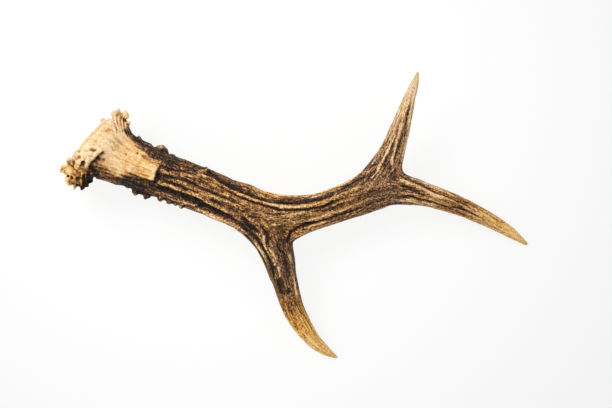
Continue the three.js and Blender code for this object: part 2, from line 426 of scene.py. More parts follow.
REAR_TINE = Branch(
    "rear tine",
    (
        (32.0, 8.6, 16.8, 7.6, 7.6, 0.62, 0.3),
        (42.2, 20.0, 17.4, 7.7, 7.2, 0.62, 0.2),
        (47.7, 30.6, 19.2, 5.9, 6.2, 0.54, 0.25),
        (51.1, 39.8, 21.5, 4.8, 5.2, 0.46, 0.3),
        (53.8, 48.4, 24.0, 3.9, 4.3, 0.34, 0.35),
        (56.0, 56.0, 26.3, 2.9, 3.2, 0.25, 0.35),
        (57.8, 61.2, 27.8, 2.2, 2.4, 0.18, 0.35),
        (59.0, 65.0, 28.8, 1.5, 1.6, 0.20, 0.4),
        (60.0, 68.6, 29.8, 0.5, 0.5, 0.16, 0.4),
    ),
)
WEBS = (
    Branch(
        "web before the front tine",
        (
            (-36.0, 4.4, 20.2, 5.6, 7.6, 0.6, 0.4),
            (-28.0, 0.2, 20.0, 5.8, 7.6, 0.6, 0.4),
            (-16.8, -8.4, 18.8, 5.8, 7.4, 0.6, 0.4),
            (-11.0, -16.0, 17.2, 5.6, 6.8, 0.6, 0.4),
            (-5.8, -28.2, 14.6, 5.0, 5.8, 0.6, 0.4),
        ),
    ),
    Branch(
        "web behind the front tine",
        (
            (-3.0, -23.4, 15.2, 3.4, 5.0, 0.6, 0.4),
            (-4.0, -14.0, 17.2, 3.6, 5.8, 0.6, 0.4),
            (-1.0, -9.4, 18.0, 3.6, 6.0, 0.6, 0.4),
            (7.0, -5.2, 18.0, 3.6, 6.0, 0.6, 0.4),
            (17.6, -1.0, 17.6, 3.5, 5.6, 0.6, 0.4),
            (30.0, 2.6, 17.0, 3.2, 5.2, 0.6, 0.4),
            (42.0, 6.4, 16.0, 2.8, 4.6, 0.6, 0.4),
        ),
    ),
    Branch(
        "web between the upper tines",
        (
            (50.2, 31.8, 19.0, 2.6, 4.4, 0.6, 0.4),
            (49.8, 22.9, 17.6, 2.7, 4.8, 0.6, 0.4),
            (52.8, 17.1, 16.2, 2.7, 4.8, 0.6, 0.4),
            (60.6, 13.7, 14.4, 2.6, 4.2, 0.6, 0.4),
        ),
    ),
)

BURR = Burr(
    centre=(-96.2, 31.8, 20.5),
    facing=(-0.763, 0.646),
    seal=5.2,
    near_squash=0.76,
    under_squash=0.92,
    lean=0.346,
    profile=(
        (-17.0, 10.6),
        (-12.0, 11.8),
        (-9.0, 13.4),
        (-6.5, 16.2),
        (-4.0, 18.6),
        (0.0, 19.8),
        (3.5, 19.2),
        (6.5, 17.0),
    ),
)


@dataclass(frozen=True)
class Lump:
    """A knob or pearl that stands on the bone where the eye above sees it.

    Attributes:
        seen: Place on the table behind the lump's middle.
        radius: The lump's radius.
        sunk: How deep the lump's middle lies under the skin, in radii.
    """

    seen: tuple[float, float]
    radius: float
    sunk: float


# The burr's knobs that show from above.
BURR_KNOBS = (
    Lump((-93.2, 45.9), 1.3, 0),
    Lump((-95.0, 44.5), 1.5, 0),
    Lump((-91.8, 44.3), 1.4, 0),
    Lump((-89.8, 44.4), 1.7, 0),
    Lump((-88.5, 43.4), 1.3, 0),
    Lump((-88.2, 39.8), 1.3, 0),
    Lump((-90.1, 42.1), 1.5, 0.2),
    Lump((-94.3, 40.4), 1.1, 0.4),
    Lump((-92.3, 42.8), 1.4, 0.2),
    Lump((-100.7, 41.2), 1.3, 0.1),
    Lump((-112.9, 12.4), 3.7, 0.45),
    Lump((-115.8, 12.6), 2.6, 0.3),
    Lump((-109.1, 13.1), 3.4, 0.5),
    Lump((-117.6, 17.1), 2.8, 0.4),
    Lump((-106.4, 15.6), 2.6, 0.6),
    Lump((-113.8, 25.2), 1.5, 0),
    Lump((-114.4, 24.5), 1.0, 0),
    Lump((-112.4, 24.3), 1.4, 0.1),
    Lump((-117.2, 21.5), 1.5, 0),
    Lump((-115.6, 20.8), 1.4, 0),
    Lump((-120.1, 18.3), 1.5, 0),
    Lump((-118.6, 18.1), 1.5, 0),
    Lump((-120.7, 16.3), 1.1, 0),
    Lump((-119.3, 16.1), 1.3, 0),
    Lump((-118.7, 11.9), 1.1, 0),
    Lump((-117.1, 12.1), 1.4, 0),
    Lump((-117.9, 9.8), 0.9, 0),
    Lump((-116.6, 10.6), 1.3, 0),
    Lump((-114.8, 8.1), 0.9, 0),
    Lump((-114.3, 9.7), 1.3, 0),
    Lump((-110.8, 7.8), 1.1, 0),
    Lump((-110.9, 9.4), 1.3, 0),
    Lump((-111.1, 11.1), 1.4, 0),
    Lump((-108.8, 9.4), 1.3, 0),
    Lump((-108.9, 10.9), 1.3, 0),
    Lump((-106.4, 11.3), 1.2, 0),
    Lump((-107.3, 12.5), 1.3, 0),
    Lump((-104.3, 14.1), 0.9, 0),
    Lump((-105.4, 15.1), 1.2, 0.2),
    Lump((-112.9, 9.2), 1.1, 0.1),
    Lump((-110.4, 24.3), 1.3, 0.1),
    Lump((-108.9, 22.3), 1.9, 0.25),
    Lump((-111.9, 21.5), 1.7, 0.2),
    Lump((-106.7, 25.2), 1.2, 0.15),
    Lump((-104.4, 25.0), 1.1, 0.1),
    Lump((-102.2, 26.5), 1.0, 0.1),
    Lump((-114.3, 22.5), 1.1, 0.1),
    Lump((-106.9, 27.7), 1.0, 0.2),
    Lump((-113.4, 18.6), 1.3, 0.0),
    Lump((-110.6, 18.8), 1.1, 0.0),
    Lump((-116.1, 17.6), 1.2, 0.1),
    Lump((-114.1, 16.1), 1.2, 0.1),
    Lump((-116.6, 14.8), 1.1, 0),
    Lump((-111.9, 16.6), 1.1, 0.2),
    Lump((-108.7, 19.3), 1.0, 0.1),
    Lump((-114.6, 13.9), 1.2, 0.1),
    Lump((-112.4, 14.1), 1.1, 0.1),
    Lump((-109.9, 15.6), 1.0, 0.2),
)
# The pearls that show along the edges of the lower beam.
EDGE_PEARLS = (
    Lump((-94.3, 11.6), 1.3, 0.2),
    Lump((-84.4, 6.2), 2.0, -0.1),
    Lump((-78.5, 4.2), 2.1, -0.1),
    Lump((-71.8, 3.2), 1.9, 0),
    Lump((-67.9, 1.2), 1.6, 0.1),
    Lump((-61.4, -0.5), 1.8, 0.2),
    Lump((-53.7, -2.5), 1.5, 0.3),
    Lump((-49.5, -4.6), 1.4, 0.3),
    Lump((-45.0, -6.7), 1.2, 0.4),
    Lump((-75.7, 4.0), 1.2, 0.3),
    Lump((-64.8, 0.2), 1.2, 0.3),
    Lump((-81.2, 5.4), 1.2, 0.4),
    Lump((-88.6, 8.4), 1.2, 0.5),
    Lump((-82.7, 32.2), 1.6, 0),
    Lump((-72.5, 27.7), 1.7, 0.1),
    Lump((-71.0, 27.8), 1.7, 0),
    Lump((-69.1, 26.2), 1.4, 0.2),
    Lump((-49.5, 17.6), 1.5, 0.2),
    Lump((-47.0, 16.6), 1.2, 0.3),
    Lump((-60.4, 21.5), 1.2, 0.5),
    Lump((-65.8, 24.3), 1.1, 0.5),
    Lump((-26.5, -7.7), 1.8, 0.5),
    Lump((-29.7, -5.9), 1.2, 0.5),
    Lump((-23.8, -9.9), 1.2, 0.6),
)
# Notches between the burr's knobs: where the eye above sees each start and end, and its half width.
BURR_NOTCHES = (
    ((-121.8, 13.9), (-117.7, 13.8), 0.55),
    ((-121.8, 20.1), (-118.6, 19.7), 0.4),
    ((-118.3, 23.6), (-116.1, 23.5), 0.4),
    ((-116.2, 6.9), (-115.9, 8.7), 0.45),
    ((-112.6, 5.9), (-112.8, 8.1), 0.5),
    ((-121.8, 15.0), (-120.1, 15.0), 0.4),
    ((-104.2, 11.4), (-104.7, 12.9), 0.5),
    ((-91.2, 47.0), (-91.2, 45.2), 0.45),
    ((-99.6, 46.2), (-96.5, 42.8), 0.9),
    ((-101.2, 45.0), (-98.6, 42.3), 0.8),
    ((-86.6, 41.9), (-88.5, 41.7), 0.4),
)
# Pearls on the side that lies down: how many, the stretch of beam that has them, the angles round it and
# their radii. A part of each radius is sunk in the beam, which lies across this direction.
UNDER_PEARL_COUNT = 60
UNDER_PEARL_REACH = (16.0, 90.0)
UNDER_PEARL_ANGLES = (205.0, 325.0)
UNDER_PEARL_RADII = (1.0, 1.9)
UNDER_PEARL_SUNK = 0.4
BEAM_ACROSS = np.array((0.36, 0.93, 0.0))

# Outline of the worn plate beside the burr, as the eye above sees it.
PLATE_OUTLINE = np.array(
    (
        (-96.0, 43.6),
        (-89.3, 37.1),
        (-85.8, 32.4),
        (-82.4, 28.9),
        (-75.2, 22.4),
        (-72.3, 19.0),
        (-74.1, 16.1),
        (-75.2, 11.4),
        (-82.3, 13.1),
        (-89.3, 14.4),
        (-94.0, 13.1),
        (-98.7, 14.6),
        (-103.3, 18.8),
        (-108.9, 26.7),
    )
)

STROKES = (
    Stroke("flank_shade", ((-88.6, 36.6), (-84.2, 32.7), (-76.2, 27.2), (-67.3, 23.3), (-57.4, 18.8),
        (-51.0, 16.3)), 1.6, -0.5, 0.12),
    Stroke("flank_line", ((-82.2, 28.2), (-73.3, 23.3), (-63.4, 19.3), (-54.5, 15.8)), 0.6, -0.35, 0.15),
    Stroke("flank_line", ((-85.6, 30.2), (-77.2, 24.3), (-68.3, 20.8), (-59.4, 16.8)), 0.5, -0.3, 0.12),
    Stroke("upper_channel", ((-51.0, 16.3), (-46.5, 14.8), (-42.1, 12.1), (-36.1, 9.2), (-29.7, 6.7),
        (-23.8, 4.5)), 1.3, -0.9, 0.45),
    Stroke("upper_channel", ((-46.5, 13.1), (-41.6, 10.4), (-35.6, 7.4), (-29.7, 5.2), (-23.8, 3.0),
        (-17.8, 1.5), (-9.9, 0.8), (-3.0, 0.5)), 1.0, -0.8, 0.45),
    Stroke("upper_channel", ((-12.9, 2.5), (-6.9, 1.5), (-0.5, 1.2), (5.4, 1.7), (10.9, 4.2),
        (13.9, 5.9)), 1.7, -0.5, 0.4),
    Stroke("upper_channel", ((16.8, 7.4), (20.3, 8.9), (24.8, 11.9), (29.7, 14.8)), 1.2, -0.4, 0.3),
    Stroke("long_crest", ((-59.4, 13.9), (-54.9, 13.4), (-51.0, 14.1), (-47.0, 12.9), (-42.6, 10.6),
        (-38.1, 7.9), (-32.7, 5.2), (-26.7, 2.5), (-21.3, 0.5), (-14.4, -0.7), (-6.9, -1.5),
        (-1.0, -1.2), (3.0, -0.5), (9.4, 1.5), (14.8, 3.5), (19.8, 5.7)), 0.8, 0.7, -0.32),
    Stroke("edge_crest", ((-29.7, 8.9), (-20.8, 5.9), (-12.4, 4.5), (-3.0, 4.2), (5.0, 5.0),
        (12.9, 7.2), (19.3, 10.4), (26.7, 15.1), (30.7, 17.8)), 0.9, 0.35, -0.4),
    Stroke("long_groove", ((-43.1, 8.9), (-37.1, 5.7), (-30.7, 3.0), (-24.3, 0.6), (-17.8, -1.2),
        (-12.4, -2.6), (-6.9, -3.0), (-1.0, -2.6), (3.5, -2.1), (7.9, -1.2), (11.4, -0.1), (14.8, 1.5),
        (18.3, 2.8), (20.8, 3.7)), 0.55, -0.9, 0.6),
    Stroke("long_groove", ((7.4, -1.3), (11.4, -0.1), (14.8, 1.4)), 1.0, -0.5, 0.4),
    Stroke("deep_crest", ((-73.3, 10.4), (-66.3, 8.4), (-59.4, 5.8), (-53.0, 3.1), (-47.0, -0.1),
        (-40.6, -3.5), (-35.6, -6.4)), 0.7, 0.6, -0.28),
    Stroke("deep_channel", ((-76.7, 8.4), (-69.3, 6.8), (-62.4, 4.6), (-55.4, 1.8), (-49.0, -1.3),
        (-42.6, -4.6), (-36.1, -8.4), (-31.2, -11.7), (-27.2, -15.6), (-24.3, -18.3), (-21.3, -21.3)),
        1.5, -1.8, 0.75),
    Stroke("deep_channel", ((-57.4, 2.0), (-49.0, -2.0), (-42.6, -5.4), (-36.1, -9.2)), 1.2, -0.8, 0.5),
    Stroke("deep_rim", ((-58.9, 0.0), (-53.5, -2.2), (-49.0, -4.5), (-44.5, -6.7), (-38.1, -9.2),
        (-33.7, -11.3), (-31.2, -13.4), (-27.2, -16.8), (-24.3, -20.5), (-21.3, -24.8), (-18.8, -29.2)),
        0.8, 0.4, -0.4),
    Stroke("rim_line", ((-32.7, -13.9), (-28.7, -17.1), (-25.2, -20.8), (-22.3, -25.0), (-19.8, -29.7)),
        0.4, -0.4, 0.4),
    Stroke("lower_flank", ((-92.1, 11.9), (-85.1, 9.4), (-78.7, 6.9)), 1.5, -0.6, 0.35),
    Stroke("lower_flank", ((-88.1, 10.4), (-82.2, 7.7), (-77.2, 6.4)), 0.6, 0.5, -0.1),
    Stroke("lower_flank", ((-76.2, 6.2), (-69.8, 5.0), (-63.9, 3.7), (-60.9, 2.5)), 0.8, 0.5, -0.15),
    Stroke("forked_spur", ((-63.4, 3.2), (-60.9, -0.5)), 0.6, 0.6, -0.25),
    Stroke("forked_spur", ((-62.4, 3.5), (-58.9, 0.0)), 0.6, 0.6, -0.25),
    # Painted shadow beside the step at the plate's end, laid over a real hollow.
    Stroke("step_hollow", ((-73.8, 16.8), (-73.0, 14.8), (-74.0, 11.9), (-75.7, 9.7)), 1.0, -1.0, 0.6),
    Stroke("step_crest", ((-72.3, 15.6), (-66.3, 15.0), (-59.4, 13.9)), 0.6, 0.4, -0.24),
    Stroke("step_groove", ((-71.8, 14.1), (-66.3, 13.5), (-60.4, 11.9), (-53.5, 9.2)), 0.7, -0.5, 0.45),
    Stroke("step_groove", ((-69.8, 17.1), (-64.3, 16.6), (-58.4, 15.8)), 0.5, -0.4, 0.4),
    Stroke("step_groove", ((-71.3, 11.9), (-65.3, 9.9), (-58.4, 7.4), (-52.5, 5.0)), 0.6, -0.5, 0.4),
    Stroke("step_crest", ((-69.3, 12.6), (-63.4, 11.1), (-57.4, 8.9)), 0.5, 0.3, -0.14),
    Stroke("spur", ((-54.5, 15.3), (-51.0, 16.3), (-48.0, 17.6)), 0.9, 0.9, -0.15),
    Stroke("middle_groove", ((-52.5, 8.4), (-46.5, 5.9), (-40.6, 3.0), (-34.6, 0.5), (-29.7, -2.0)),
        0.5, -0.4, 0.35),
    Stroke("middle_groove", ((-49.5, 3.5), (-43.6, 0.5), (-37.6, -2.5), (-32.7, -5.0)), 0.5, -0.4, 0.3),
    Stroke("middle_groove", ((-47.0, 2.7), (-44.1, 1.0)), 1.0, -0.3, 0.35),
    Stroke("fork_hollow", ((-31.7, -5.9), (-30.2, -8.7), (-27.2, -10.6), (-23.8, -12.6)), 0.9, -0.8, 0.6),
    Stroke("fork_hollow", ((-31.2, -9.9), (-25.5, -12.8), (-22.3, -14.4)), 0.7, -0.8, 0.55),
    Stroke("fork_crest", ((-22.8, -7.9), (-19.8, -10.9), (-17.8, -13.4)), 1.0, 0.5, -0.25),
    Stroke("fork_hollow", ((-21.3, -12.9), (-19.1, -16.8), (-18.7, -20.3)), 0.9, -1.0, 0.6),
    Stroke("notch_groove", ((-9.9, -19.3), (-8.7, -15.8), (-5.9, -12.7), (-1.5, -10.5), (2.5, -9.4)),
        0.8, -0.7, 0.5),
    Stroke("tine_crest", ((-21.1, -14.8), (-20.7, -17.8), (-20.2, -20.8), (-19.3, -22.8)), 0.5, 0.5, -0.45),
    Stroke("tine_crest", ((-19.3, -22.3), (-16.7, -26.7), (-15.8, -29.5)), 0.5, 0.5, -0.5),
    Stroke("tine_crest", ((-18.1, -21.3), (-15.0, -27.2), (-14.8, -29.2), (-16.2, -30.7)), 0.5, 0.5, -0.5),
    Stroke("tine_groove", ((-18.6, -22.8), (-16.1, -27.2)), 0.35, -0.4, 0.5),
    Stroke("tine_groove", ((-23.8, -19.3), (-20.8, -22.8), (-18.3, -27.7), (-16.8, -31.7),
        (-16.1, -36.6)), 0.9, -0.6, 0.55),
    Stroke("tine_crest", ((-13.8, -30.7), (-12.6, -36.6)), 0.5, 0.3, -0.4),
    Stroke("tine_groove", ((-14.2, -36.6), (-12.6, -42.1), (-10.1, -45.0)), 1.0, -0.5, 0.5),
    Stroke("tine_pit", ((-8.9, -41.8), (-8.2, -44.5)), 0.7, -0.5, 0.55),
    Stroke("tine_crest", ((-8.9, -23.8), (-6.9, -30.2), (-5.9, -39.6), (-3.7, -47.5)), 0.7, 0.4, -0.35),
    Stroke("tine_groove", ((-10.5, -16.3), (-11.3, -20.8), (-10.4, -26.7), (-8.9, -32.7),
        (-8.4, -38.1)), 0.8, -0.4, 0.35),
    Stroke("tine_line", ((-8.4, -47.5), (-5.4, -52.0), (-2.5, -56.4)), 0.4, -0.2, 0.3),
    Stroke("tine_line", ((-6.4, -47.0), (-3.5, -52.0), (-1.0, -55.4)), 0.4, -0.2, 0.25),
    Stroke("beam_crest", ((-2.5, -8.2), (3.0, -7.7), (7.9, -6.2), (13.4, -4.2), (18.8, -2.3),
        (24.8, 0.0)), 0.7, 0.4, -0.3),
    Stroke("beam_groove", ((-3.0, -11.3), (1.0, -10.0), (7.4, -8.1), (15.3, -5.6), (22.3, -3.4),
        (28.7, -1.2)), 0.6, -0.5, 0.45),
    Stroke("beam_crest", ((-1.0, -12.1), (5.0, -10.3), (10.9, -8.4)), 0.5, 0.3, -0.3),
    Stroke("beam_groove", ((2.0, -4.2), (7.9, -3.5), (13.9, -1.7), (19.8, 0.5)), 0.6, -0.4, 0.4),
    Stroke("beam_crest", ((0.0, -5.2), (5.0, -4.7), (9.9, -3.2)), 0.5, 0.2, -0.2),
    Stroke("rear_crest", ((34.6, 13.9), (37.4, 20.8), (41.6, 27.9), (45.0, 36.6)), 0.6, 0.4, -0.28),
    Stroke("rear_crest", ((43.8, 14.4), (42.7, 19.6), (44.1, 26.7), (46.0, 34.6), (48.0, 40.6)), 0.6,
        0.4, -0.32),
    Stroke("rear_groove", ((38.6, 15.8), (40.6, 21.8), (43.6, 30.2), (46.5, 39.1)), 1.2, -0.4, 0.21),
    Stroke("rear_groove", ((43.5, 19.3), (45.7, 27.7), (48.0, 32.8), (50.2, 43.1), (52.5, 52.1)), 0.7,
        -0.6, 0.3),
    Stroke("rear_crest", ((46.5, 19.3), (48.5, 26.7), (50.5, 36.6), (52.0, 45.5)), 0.6, 0.3, -0.24),
    Stroke("rear_crest", ((30.7, 17.8), (35.1, 24.3), (39.1, 31.2), (43.1, 39.1), (47.0, 48.5)), 0.7,
        0.3, -0.2),
    Stroke("top_crest", ((44.5, 14.1), (49.8, 10.9), (57.8, 7.2), (62.9, 4.7), (68.8, 2.5)), 0.6, 0.4,
        -0.4),
    Stroke("top_groove", ((46.5, 9.9), (51.0, 7.9), (55.4, 5.9), (60.4, 3.7)), 1.0, -0.3, 0.28),
    Stroke("top_groove", ((43.6, 3.5), (48.5, 3.6), (53.0, 3.4), (57.9, 2.4), (65.3, -0.1),
        (71.3, -1.5), (76.2, -2.2), (80.7, -4.0), (87.6, -6.9)), 0.7, -0.7, 0.35),
    Stroke("top_crest", ((44.5, 1.5), (52.5, 1.6), (59.4, 0.5), (66.3, -1.7)), 0.7, 0.3, -0.3),
    Stroke("top_crest", ((50.0, 13.6), (57.4, 10.4), (66.3, 6.9), (76.2, 3.0)), 0.6, 0.3, -0.3),
    Stroke("top_groove", ((52.5, 10.9), (60.4, 7.7), (68.3, 4.2), (75.2, 1.2)), 0.4, -0.3, 0.24),
    Stroke("top_groove", ((69.3, 0.5), (76.2, -2.0), (82.2, -4.7), (86.1, -6.9)), 0.9, -0.3, 0.21),
    Stroke("top_groove", ((72.3, 2.2), (79.2, -1.0), (85.1, -4.5)), 0.4, -0.2, 0.17),
    # Painted shade in the hollow below the burr's flare, laid over a real groove.
    Stroke("burr_hollow", ((-99.7, 26.2), (-103.0, 23.3), (-105.9, 20.0), (-107.7, 16.8)), 1.1, -1.0, 0.24),
    Stroke("burr_lip", ((-100.5, 27.2), (-104.4, 24.5), (-107.7, 21.3), (-110.4, 17.8)), 1.0, 0.8, -0.08),
    Stroke("rim_gold", ((-113.8, 25.2), (-117.3, 21.3), (-120.3, 17.8), (-118.8, 14.8)), 2.0, 0.0, 0.43),
    Stroke("rim_gold", ((-108.9, 19.3), (-112.9, 17.8), (-116.3, 16.3)), 2.8, 0.0, 0.43),
    # Painted shade under the burr's lip.
    Stroke("under_brown", ((-101.5, 23.8), (-104.4, 20.3), (-107.4, 17.3), (-109.9, 14.8)), 2.2, -0.3, 0.4),
    Stroke("under_gold", ((-100.0, 24.3), (-100.5, 20.3), (-98.0, 16.8), (-93.1, 14.8)), 2.6, 0.0, 0.2),
    # Painted shade on the underside of the burr's lower lobe.
    Stroke("under_brown", ((-103.0, 16.8), (-106.4, 13.9), (-109.4, 10.9)), 3.0, -0.2, 0.75),
    # Painted shade over the burr's lower lobe, which lies in shadow.
    Stroke("lobe_brown", ((-110.9, 11.4), (-114.8, 11.1), (-118.3, 10.9)), 2.6, 0.0, 0.71),
    Stroke("lobe_brown", ((-112.9, 13.9), (-109.9, 11.9), (-106.9, 12.4)), 2.4, 0.0, 0.4),
    Stroke("lobe_brown", ((-114.8, 8.9), (-111.9, 8.4), (-108.9, 9.9)), 1.6, 0.0, 0.51),
    Stroke("lobe_shade", ((-118.5, 13.0), (-113.0, 11.0), (-107.0, 12.5)), 3.6, 0.0, 0.2),
    Stroke("gold_crumb", ((-98.4, 37.6), (-97.0, 35.4)), 0.8, 0.4, 0.4),
    Stroke("gold_crumb", ((-99.6, 31.8), (-97.2, 30.6)), 0.8, 0.4, 0.36),
    Stroke("gold_crumb", ((-102.0, 26.4), (-99.8, 25.2)), 0.9, 0.4, 0.4),
    Stroke("gold_crumb", ((-105.0, 24.6), (-103.0, 23.2)), 0.9, 0.4, 0.4),
    Stroke("gold_crumb", ((-95.8, 34.2), (-94.6, 31.8)), 0.7, 0.3, 0.3),
    Stroke("gold_crumb", ((-103.4, 34.8), (-102.0, 33.6)), 0.7, 0.3, 0.22),
    Stroke("burr_fringe", ((-111.1, 15.8), (-111.4, 12.4), (-110.9, 8.4)), 0.4, 0.6, -0.5),
    Stroke("burr_fringe", ((-108.9, 16.3), (-109.1, 13.4), (-108.7, 9.9)), 0.4, 0.6, -0.5),
    Stroke("burr_fringe", ((-106.4, 15.8), (-106.2, 12.9)), 0.4, 0.4, -0.45),
    Stroke("burr_fringe_gap", ((-109.9, 15.8), (-110.1, 12.4), (-109.6, 8.4)), 0.5, -0.6, 0.15),
    Stroke("burr_fringe_gap", ((-107.4, 16.8), (-107.7, 13.9), (-106.9, 10.4)), 0.6, -0.6, 0.15),
    Stroke("burr_fringe_gap", ((-113.4, 13.4), (-113.1, 8.4)), 0.5, -0.5, 0.15),
    Stroke("burr_fringe_gap", ((-116.6, 14.4), (-115.3, 12.4)), 0.6, -0.6, 0.2),
    Stroke("finger_cap", ((-93.8, 46.4), (-92.6, 46.4)), 0.9, 0.0, 0.35),
    Stroke("finger_cap", ((-88.1, 40.3), (-88.1, 39.1)), 0.9, 0.0, 0.4),
    Stroke("finger_cap", ((-88.4, 44.5), (-88.0, 43.1)), 0.7, 0.0, 0.3),
    Stroke("finger_groove", ((-95.5, 44.1), (-94.6, 39.6), (-93.1, 33.7)), 0.5, -0.6, 0.22),
    Stroke("finger_groove", ((-93.6, 45.0), (-93.1, 40.1), (-91.8, 34.2)), 0.45, -0.5, 0.25),
    Stroke("finger_groove", ((-91.7, 43.6), (-91.6, 39.6), (-90.6, 34.6)), 0.45, -0.6, 0.28),
    Stroke("finger_groove", ((-89.8, 43.1), (-90.1, 39.1), (-88.6, 34.2)), 0.5, -0.7, 0.4),
    Stroke("finger_gap", ((-88.9, 42.1), (-88.4, 41.1)), 0.7, -0.8, 0.45),
    Stroke("plate_fan", ((-96.5, 37.6), (-94.5, 33.2), (-91.1, 28.7)), 0.4, -0.15, 0.1),
    Stroke("plate_fan", ((-94.0, 33.7), (-91.6, 30.2), (-87.1, 26.2)), 0.4, -0.15, 0.12),
    Stroke("plate_spot", ((-83.9, 25.7), (-82.9, 24.8)), 0.6, -0.3, 0.4),
    Stroke("plate_spot", ((-100.0, 22.3), (-99.5, 20.8)), 0.6, -0.3, 0.25),
    Stroke("plate_spot", ((-89.6, 24.5), (-88.6, 24.0)), 0.6, -0.2, 0.18),
    Stroke("plate_line", ((-88.6, 17.8), (-82.2, 15.3), (-76.2, 12.9)), 0.4, -0.15, 0.22),
    Stroke("plate_line", ((-91.1, 16.3), (-84.6, 14.1), (-77.2, 11.9)), 0.4, -0.15, 0.2),
    Stroke("plate_line", ((-87.1, 19.8), (-80.7, 17.3), (-75.2, 15.3)), 0.4, -0.1, 0.12),
)

# The band of crumbs across the burr's upper face.
CRUMBS = Stroke("crumbs", ((-101.0, 27.7), (-105.9, 24.3), (-111.4, 21.3), (-116.3, 18.3)), 3.6, 0.45, -0.14)


@dataclass(frozen=True)
class ForkCut:
    """A cut across a branch just past a fork.

    Attributes:
        piece: The piece beyond the cut.
        point: A point on the cut.
        leaves: The way the tine leaves.
        reach: How far from the point the cut acts.
    """

    piece: BonePiece
    point: tuple[float, float, float]
    leaves: tuple[float, float, float]
    reach: float = 24.0


FORK_CUTS = (
    ForkCut(BonePiece.FRONT_TINE, (-8.4, -18.5, 16.4), (8.7, -24.0, -4.8)),
    ForkCut(BonePiece.REAR_TINE, (47.5, 30.6, 19.2), (8.1, 19.8, 4.1)),
    ForkCut(BonePiece.TOP_TINE, (58.0, 11.8, 14.3), (23.1, -4.9, -3.0)),
)


def linear_colour(code: str) -> tuple[float, float, float, float]:
    """Turns an sRGB hex colour into the linear values that a shader takes.

    Args:
        code: Six hex digits.

    Returns:
        Red, green, blue and full alpha.
    """
    shares = [int(code[i : i + 2], 16) / 255.0 for i in (0, 2, 4)]
    linear = [c / 12.92 if c <= 0.04045 else ((c + 0.055) / 1.055) ** 2.4 for c in shares]
    return (linear[0], linear[1], linear[2], 1.0)


def add_node(
    tree: bpy.types.NodeTree, kind: str, links: dict | None = None, **settings: object
) -> bpy.types.Node:
    """Adds a node with its settings, input values and links.

    Args:
        tree: The material's node tree.
        kind: The node's type.
        links: Input name or number to a value, or to the output socket that feeds it.
        settings: The node's own properties.

    Returns:
        The new node.
    """
    node = tree.nodes.new(kind)
    for name, value in settings.items():
        setattr(node, name, value)
    for name, value in (links or {}).items():
        if isinstance(value, bpy.types.NodeSocket):
            tree.links.new(value, node.inputs[name])
        else:
            node.inputs[name].default_value = value
    return node


def spread(
    tree: bpy.types.NodeTree, value: bpy.types.NodeSocket, span: tuple[float, float, float, float]
) -> bpy.types.NodeSocket:
    """Adds a node that maps a value and keeps it within bounds.

    Args:
        tree: The material's node tree.
        value: The value to map.
        span: The values that are mapped to the bounds, and the bounds.

    Returns:
        The mapped value.
    """
    names = ("From Min", "From Max", "To Min", "To Max")
    return add_node(tree, "ShaderNodeMapRange", {"Value": value, **dict(zip(names, span))}).outputs[0]


